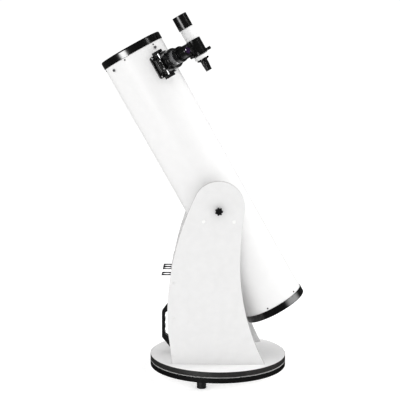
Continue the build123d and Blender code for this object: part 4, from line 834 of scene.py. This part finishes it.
nuts = Piece(TUBE, "black_nickel")
for k in range(4):
    knurl = [(2.05, 0, 0), (4.6, 0, 0.5), (5, 0.4, 1), (5, 4.4, 1), (4.5, 4.95, 0.5), (2.6, 4.95, 0)]
    nuts.fluted([*knurl, (2.05, 4.4, 0)], 14, 0.35, around(45 + 90 * k, SPIDER_S, TUBE_R), per_lobe=6)
nuts.done("spider_thumb_nuts", "spider_nuts")

flat_normal = (Vector((1, -1, 0)).normalized() - Vector((0, 0, 1))).normalized()


def slanted(radius, depth):
    """A cylinder's cut by the flat's plane at a depth behind it, in the tube's frame."""
    made = []
    for k in range(96):
        x, y = radius * cos(2 * pi * k / 96), radius * sin(2 * pi * k / 96)
        offset = -depth - flat_normal.x * x - flat_normal.y * y
        made.append(Vector((x, y, FOCUSER_S + offset / flat_normal.z)))
    return made


flat = Piece(TUBE, "mirror_silver", "vane_black")
ovals = ((SECONDARY_R - 0.5, 0), (SECONDARY_R, 0.3), (SECONDARY_R, FLAT_T))
flat.rings([slanted(radius, depth) for radius, depth in ovals], capped=True)
for face in flat.mesh.faces:
    face.material_index = 0 if face.calc_center_median().z < FOCUSER_S + 1 and len(face.verts) > 4 else 1
flat.done("oval_flat", "secondary_mirror")

holder = Piece(TUBE)
rim = slanted(SECONDARY_R - 1.5, FLAT_T)
top = [Vector((p.x, p.y, HOLDER_TOP)) for p in rim]
inner = [Vector((p.x * 0.96, p.y * 0.96, HOLDER_TOP + 1)) for p in rim]
holder.rings([rim, top, inner], capped=True)
holder.rod(4, HOLDER_TOP - 1, SPIDER_LOW)
holder.done("flat_holder", "secondary_holder")

collimators = Piece(TUBE)
for place in spread(3, 90, 9):
    socket = [(0, HOLDER_TOP + 1), (1.6, HOLDER_TOP + 1), (1.6, SPIDER_HIGH), (3, SPIDER_HIGH), (3, 633.2)]
    socket += [(2.7, 633.5), (1.5, 633.5), (1.5, SPIDER_HIGH + 1), (0, SPIDER_HIGH + 1)]
    collimators.turned(socket, place, steps=36)
collimators.done("secondary_adjusters", "secondary_screws")

# ---- Focuser: heights are distances from the tube's axis ----
SADDLE_X, SADDLE_Y = 42.0, SADDLE_R * sin(radians(21.5))
PLATE_X, PLATE_Y, PLATE_TOP = 30, 32, 126.0
BASE_BORE, BODY_BORE = 28, 27.05
BODY_R, NECK_LOW = 33.0, 160.5
COLLAR_R, COLLAR_LOW, COLLAR_TOP = 36.5, 162.0, 183.0
GROOVE_R, GROOVE = 35.6, 169.0


def on_cylinder(radius):
    return lambda x, y: sqrt(max(radius**2 - y**2, 0.0))


base = Piece(FOCUS)
base.plinth(SADDLE_X, SADDLE_Y, 7, BASE_BORE, on_cylinder(TUBE_R + 0.05), on_cylinder(SADDLE_R), 0.9)
base.plinth(PLATE_X + 3, PLATE_Y + 3, 12, BASE_BORE, on_cylinder(TUBE_R + 0.2), PLATE_TOP, 1.6)
base.done("focuser_saddle", "focuser_base")

housing = Piece(FOCUS, "focuser_black", "bright_chrome")
housing.plinth(PLATE_X, PLATE_Y, 12, BODY_BORE, PLATE_TOP, PLATE_TOP + 7, 1.5)
body = [(BODY_BORE, PLATE_TOP + 5), (BODY_R + 1, PLATE_TOP + 7, 0.5), (BODY_R, PLATE_TOP + 9, 1)]
body += [(BODY_R, NECK_LOW, 1), (BODY_R + 1.2, COLLAR_LOW, 0.4), (COLLAR_R, COLLAR_LOW, 1.5)]
body += [(COLLAR_R, GROOVE, 0.4), (GROOVE_R, GROOVE + 0.8, 0.3), (GROOVE_R, GROOVE + 2, 0.3)]
body += [(COLLAR_R, GROOVE + 2.8, 0.4), (COLLAR_R, COLLAR_TOP, 1.8), (29.5, COLLAR_TOP, 0.6)]
housing.turned([*body, (28.5, COLLAR_TOP - 1.2, 0.4), (BODY_BORE, COLLAR_TOP - 1.2)], steps=144)
housing.box((-23, 23), (24, 43), (137, 157), 1.6)
for x in (-15, 15):
    housing.copy(fitting_head, shift(x, 42.6, 152) @ spin(-90, "X") @ Matrix.Scale(0.62, 4), slot=1)
housing.done("focuser_housing", "focuser_body")

SHAFT_R, SHAFT_HALF = 3, 51.7
SHAFT_Y, SHAFT_OUT = 30.05, 147.0
shaft_place = FOCUS @ shift(0, SHAFT_Y, SHAFT_OUT) @ spin(90, "Y")
bar = [(0, -SHAFT_HALF), (SHAFT_R, -SHAFT_HALF, 0.4), (SHAFT_R, SHAFT_HALF, 0.4), (0, SHAFT_HALF)]
turned_piece("bright_shaft", "focus_shaft", shaft_place, bar, 40)

KNOB_R, KNOB_IN, KNOB_FACE, KNOB_DISH = 19.5, 40.8, 51.6, 50.6
knobs = Piece(shaft_place)
for side in (Matrix(), FLIP):
    rim = [(SHAFT_R, KNOB_IN, 0), (9, KNOB_IN, 0), (9.6, 41.6, 0), (16.5, 41.6, 0), (18.4, 41.6, 0.3)]
    rim += [(KNOB_R, 42.6, 1), (KNOB_R, KNOB_DISH, 1), (18.6, KNOB_FACE, 0.3), (15.5, 51.7, 0)]
    rim += [(14.8, KNOB_DISH, 0), (6.5, KNOB_DISH, 0), (6, KNOB_FACE, 0), (SHAFT_R, KNOB_FACE, 0)]
    knobs.fluted(rim, 24, 1.1, side, per_lobe=8, sharpness=1.6)
knobs.done("ribbed_knobs", "focus_knobs")

DRAW_R, DRAW_BORE, DRAW_TOP = 27, 25.4, 203
draw = Piece(FOCUS, "dark_chrome", "tube_inside_black")
draw.turned([(DRAW_BORE, 104), (DRAW_R, 104, 0.3), (DRAW_R, DRAW_TOP), (DRAW_BORE, DRAW_TOP)], steps=120)
draw.line(DRAW_BORE + 0.3)
draw.done("bright_drawtube", "drawtube")

ADAPTER_R, ADAPTER_TOP, EYE_BORE = 28.5, 222, 15.85
sleeve = [(EYE_BORE, 185, 0.3), (25.3, 185, 0.3), (25.3, DRAW_TOP), (ADAPTER_R, DRAW_TOP, 1)]
sleeve += [(ADAPTER_R, 206, 0.3), (27.8, 206.5, 0.2), (27.8, 207.5, 0.2), (ADAPTER_R, 208, 0.3)]
sleeve += [(ADAPTER_R, ADAPTER_TOP, 1.4), (23.5, ADAPTER_TOP, 0.5), (22.8, ADAPTER_TOP - 0.6)]
sleeve.append((EYE_BORE, ADAPTER_TOP - 0.6, 0.3))
turned_piece("eyepiece_sleeve", "eyepiece_adapter", FOCUS, sleeve, 120)

screw_place = FOCUS @ shift(0, -29.5, 212.5) @ spin(90, "X")
thumbscrew("sleeve_thumbscrew", "eyepiece_thumbscrew", screw_place, (2, 13.5), (5.5, 8))

EYE_R, EYE_INNER, EYE_END = 21.5, 13.5, 261.0
ocular = Piece(FOCUS, "eyepiece_black", "bright_chrome")
nose = [(EYE_INNER, 196, 0.4), (EYE_BORE, 196, 0.4), (EYE_BORE, ADAPTER_TOP + 1)]
ocular.turned([*nose, (EYE_INNER, ADAPTER_TOP + 1)], slot=1)
barrel = [(EYE_INNER, ADAPTER_TOP), (EYE_R, ADAPTER_TOP, 1.2), (EYE_R, 226, 0.4), (20.7, 226.8, 0.3)]
barrel += [(20.7, 238.2, 0.3), (EYE_R, 239, 0.4), (EYE_R, 257.5, 1), (20, EYE_END, 0.9)]
barrel += [(17.3, EYE_END, 0.7), (15, 258.5, 0.4), (12.6, 258.2, 0.4), (11.6, 257.4, 0.3), (11.6, 254)]
ocular.turned([*barrel, (EYE_INNER, 254)], steps=120)
ocular.fluted([(20.6, 227.4, 0), (21.4, 228, 1), (21.4, 237, 1), (20.6, 237.6, 0)], 40, 0.6, per_lobe=6)
ocular.done("ocular", "eyepiece")
lens("eye_lens", "eyepiece_lens", FOCUS, 15, 254, 256.5, 1.8)

# ---- Finder ----
FOOT_LOW, FOOT_TOP = 124.0, 131.0
RAIL_LOW, RAIL_HIGH = 518, 572
RAIL_Y, SHOE_Y = 17.6, 22


def on_tube(y):
    return (sqrt(TUBE_R**2 - y**2) + 0.1, y)


shoe = Piece(TUBE)
for side in (-1, 1):
    rail = [on_tube(RAIL_Y), (SADDLE_R, RAIL_Y), (FOOT_LOW, RAIL_Y)]
    rail += [(FOOT_TOP + 1, 13.6, 0.3), (FOOT_TOP + 1, SHOE_Y, 1.2), on_tube(SHOE_Y)]
    shoe.prism([(x, side * y, *corner) for x, y, *corner in rail], RAIL_LOW, RAIL_HIGH, edge=0.6)
floor_rail = [(SADDLE_R, -17.8), (SADDLE_R, 17.8)]
floor_rail += [on_tube(y) for y in (17.8, 12, 6, 0, -6, -12, -17.8)]
shoe.prism(floor_rail, RAIL_LOW + 0.4, RAIL_HIGH - 0.4, edge=0.4)
shoe.done("dovetail_shoe", "finder_shoe")

screw_place = TUBE @ shift(FOOT_TOP - 3, -23, 545) @ spin(90, "X")
thumbscrew("shoe_thumb", "shoe_thumbscrew", screw_place, (2.5, 6), (7, 9))

BRACKET_LOW, BRACKET_TOP = 514.0, 575.0
BRACKET_R, BRACKET_BORE, BRACKET_GROOVE = 28.3, 26.3, 27.8
ADJUST_S = 521.0
UPPER, LOWER, SPRUNG = -20, -140, 100  # angles of the adjusting screws and the plunger
bracket = Piece(TUBE)
dovetail = [(FOOT_LOW, -17, 0.3), (FOOT_TOP, -13, 0.4), (FOOT_TOP, 13, 0.4), (FOOT_LOW, 17, 0.3)]
bracket.prism(dovetail, RAIL_LOW, RAIL_HIGH, edge=0.7)
bracket.box((FOOT_TOP - 1, FINDER_X - BRACKET_BORE - 1.2), (-6.5, 6.5), (525, 565), 1.4)
barrel = [(BRACKET_BORE, BRACKET_LOW, 0.4), (BRACKET_R, BRACKET_LOW, 0.8)]
for s in (529, 562):
    barrel += [(BRACKET_R, s, 0.3), (BRACKET_GROOVE, s + 0.6, 0.2), (BRACKET_GROOVE, s + 1.6, 0.2)]
    barrel.append((BRACKET_R, s + 2.2, 0.3))
barrel += [(BRACKET_R, BRACKET_TOP, 0.8), (BRACKET_BORE, BRACKET_TOP, 0.4)]
beside = shift(FINDER_X)
bracket.turned(barrel, beside, steps=144)
for angle in (UPPER, LOWER, SPRUNG):
    boss = [(2.05, 26.4), (6.5, 26.4), (6.5, 31.5, 0.8), (2.05, 31.5)]
    bracket.turned(boss, beside @ around(angle, ADJUST_S, 0), steps=48)
bracket.done("bracket_barrel", "finder_bracket")

for angle, word in ((UPPER, "upper"), (LOWER, "lower")):
    place = FINDER @ around(angle, ADJUST_S, 34.5)
    thumbscrew(f"{word}_adjuster", f"finder_adjust_screw_{word}", place, (2, 9.9), (5.5, 12.5))

plunger = Piece(FINDER @ around(SPRUNG, ADJUST_S, 0))
plunger.turned([(0, 24.6), (2, 24.6, 0.5), (2, 32), (0, 32)], steps=24)
plunger.turned([(0, 31.5), (6, 31.5, 0.5), (6, 43.5, 1.5), (0, 43.5)], steps=48)
plunger.done("spring_plunger", "finder_plunger")

SIGHT_R, SIGHT_NECK_R, SIGHT_BORE = 27.5, 24.5, 23.2
SIGHT_LOW, SIGHT_TOP = 499, 640
o_ring = [(SIGHT_NECK_R, 566), (BRACKET_BORE, 566, 0.8), (BRACKET_BORE, 570, 0.8), (SIGHT_NECK_R, 570)]
turned_piece("rubber_ring", "finder_o_ring", FINDER, o_ring)

sight = Piece(FINDER, "finder_white", "tube_inside_black")
profile = [(SIGHT_BORE, SIGHT_LOW, 0.3), (SIGHT_R, SIGHT_LOW, 1), (SIGHT_R, 512.5, 1)]
profile += [(SIGHT_NECK_R, 512.5, 0.5), (SIGHT_NECK_R, SIGHT_TOP, 0.3), (SIGHT_BORE, SIGHT_TOP)]
sight.turned(profile, steps=120)
sight.line(SIGHT_BORE + 0.3)
sight.done("white_sight", "finder_tube")

DEW_R, DEW_BORE, DEW_GROOVE = 27.4, 25.6, 27.0
DEW_LOW, DEW_TOP = 622.5, 675.0
profile = [(SIGHT_NECK_R, DEW_LOW), (DEW_R, DEW_LOW, 0.7), (DEW_R, 627, 0.2), (DEW_GROOVE, 627.4, 0.15)]
profile += [(DEW_GROOVE, 628.4, 0.15), (DEW_R, 628.8, 0.2), (DEW_R, DEW_TOP, 0.7), (DEW_BORE, DEW_TOP, 0.5)]
profile += [(DEW_BORE, SIGHT_TOP), (SIGHT_NECK_R, SIGHT_TOP)]
turned_piece("dew_hood", "finder_dew_shield", FINDER, profile, 144)
lens("front_lens", "finder_objective", FINDER, DEW_BORE, SIGHT_TOP, SIGHT_TOP + 5, 2.2)

tail = Piece(FINDER)
profile = [(0, 453.5), (8, 453.5), (9, 450.5, 0.3), (11.3, 450.5, 0.6), (11.5, 455, 0.3), (11.2, 455.4, 0.2)]
profile += [(11.3, 456.6, 0.2), (11.8, 457, 0.3), (13.2, 490, 1), (17, 491.5, 0.6), (SIGHT_BORE, 494, 0.8)]
tail.turned([*profile, (SIGHT_BORE, SIGHT_LOW), (0, SIGHT_LOW)])
tail.fluted([(12.2, 470, 0), (13.0, 470.6, 1), (13.2, 482.4, 1), (12.6, 483, 0)], 32, 0.5, per_lobe=6)
tail.done("tapered_ocular", "finder_eyepiece")

# Nodes without a piece of their own keep their CAD shape
for name, node in frame["nodes"].items():
    if not node.hide_render:
        node.data.materials.clear()
        node.data.materials.append(FINISHES[slot_of[name]])

# ---- Studio ----
scene = bpy.context.scene
scene.view_settings.view_transform = "Standard"

FLOOR_SIZE, FLOOR_DROP, FLOOR_GLOW = 14.0, 0.0002, 0.3
WHITE = (1, 1, 1, 1)
ground = bmesh.new()
bmesh.ops.create_grid(ground, x_segments=24, y_segments=24, size=FLOOR_SIZE)
for vertex in ground.verts:
    vertex.co.z -= FLOOR_DROP
floor_mesh = bpy.data.meshes.new("studio_floor")
ground.to_mesh(floor_mesh)
ground.free()
floor = bpy.data.objects.new("studio_floor", floor_mesh)
scene.collection.objects.link(floor)
floor_finish = finish("floor_white", 0.9, 0.92, 0.5, (0.85, 0.95), specular=0.0)
glow = floor_finish.node_tree.nodes["Principled BSDF"]
set_inputs(glow, {"Emission Color": WHITE, "Emission Strength": FLOOR_GLOW})
floor_mesh.materials.append(floor_finish)
floor.visible_glossy = False
floor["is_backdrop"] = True


def studio_world(seen, mirrored, ambient):
    """A white backdrop for the camera, a dark room in reflections, and an even fill."""
    world = bpy.data.worlds.new("studio")
    scene.world = world
    world.use_nodes = True
    nodes, links = world.node_tree.nodes, world.node_tree.links
    fill = nodes["Background"]
    set_inputs(fill, {"Color": WHITE, "Strength": ambient})
    rays = nodes.new("ShaderNodeLightPath")
    mixed = fill.outputs["Background"]
    for strength, test in ((mirrored, "Is Glossy Ray"), (seen, "Is Camera Ray")):
        sky = nodes.new("ShaderNodeBackground")
        set_inputs(sky, {"Color": WHITE, "Strength": strength})
        mix = nodes.new("ShaderNodeMixShader")
        links.new(rays.outputs[test], mix.inputs["Fac"])
        links.new(mixed, mix.inputs[1])
        links.new(sky.outputs["Background"], mix.inputs[2])
        mixed = mix.outputs["Shader"]
    links.new(mixed, nodes["World Output"].inputs["Surface"])


studio_world(seen=1.05, mirrored=0.05, ambient=0.945)


def softbox(name, radiance, width, height, location, target, feather, lights_up=True, mirrored=True):
    """A rectangular light that fades out over a share of its half-width."""
    light = bpy.data.lights.new(name, "AREA")
    light.shape = "RECTANGLE"
    light.size = width
    light.size_y = height
    light.energy = radiance * pi * width * height
    made = bpy.data.objects.new(name, light)
    made.location = location
    made.rotation_euler = (Vector(target) - Vector(location)).to_track_quat("-Z", "Y").to_euler()
    made.visible_diffuse = lights_up
    made.visible_glossy = mirrored
    scene.collection.objects.link(made)
    light.use_nodes = True
    nodes, links = light.node_tree.nodes, light.node_tree.links
    where = nodes.new("ShaderNodeNewGeometry")
    centred = nodes.new("ShaderNodeMapping")
    set_inputs(centred, {"Scale": (2, 2, 0), "Location": (-1, -1, 0)})
    disc = nodes.new("ShaderNodeTexGradient")
    disc.gradient_type = "SPHERICAL"
    fade = nodes.new("ShaderNodeMapRange")
    fade.interpolation_type = "SMOOTHSTEP"
    set_inputs(fade, {"From Max": feather})
    links.new(where.outputs["Parametric"], centred.inputs["Vector"])
    links.new(centred.outputs["Vector"], disc.inputs["Vector"])
    links.new(disc.outputs["Fac"], fade.inputs["Value"])
    links.new(fade.outputs["Result"], nodes["Emission"].inputs["Strength"])


softbox("top_right_softbox", radiance=7.2, width=2.0, height=2.0, location=(2.4, 0.3, 2.6),
        target=(0, 0, 0.4), feather=0.8, mirrored=False)
softbox("front_left_strip", radiance=19.0, width=2.9, height=1.3, location=(-2.15, -3.45, 0.5),
        target=(-0.3, -0.1, 1.1), feather=0.45, lights_up=False)
softbox("glint_box", radiance=16.0, width=0.6, height=0.6, location=(2.56, -1.12, 3.25),
        target=(-0.1, -0.2, 1.15), feather=1.0, lights_up=False)
softbox("right_strip", radiance=5.0, width=5.2, height=1.9, location=(3.3, -0.9, 0.9),
        target=(0, 0, 0.6), feather=0.7, lights_up=False)

EYE = Vector((-0.0414, -3.7663, 1.1777))
AHEAD = Vector((-0.00721, 0.99029, -0.1388))
ROLL = 0.132
LENS, FARTHEST = 92.12, 60.0
camera = bpy.data.cameras.new("camera")
camera.lens = LENS
camera.clip_end = FARTHEST
viewer = bpy.data.objects.new("camera", camera)
scene.collection.objects.link(viewer)
scene.camera = viewer
viewer.location = EYE
viewer.rotation_euler = (AHEAD.to_track_quat("-Z", "Y").to_matrix().to_4x4() @ spin(ROLL)).to_euler()

bpy.context.view_layer.update()
low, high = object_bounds()
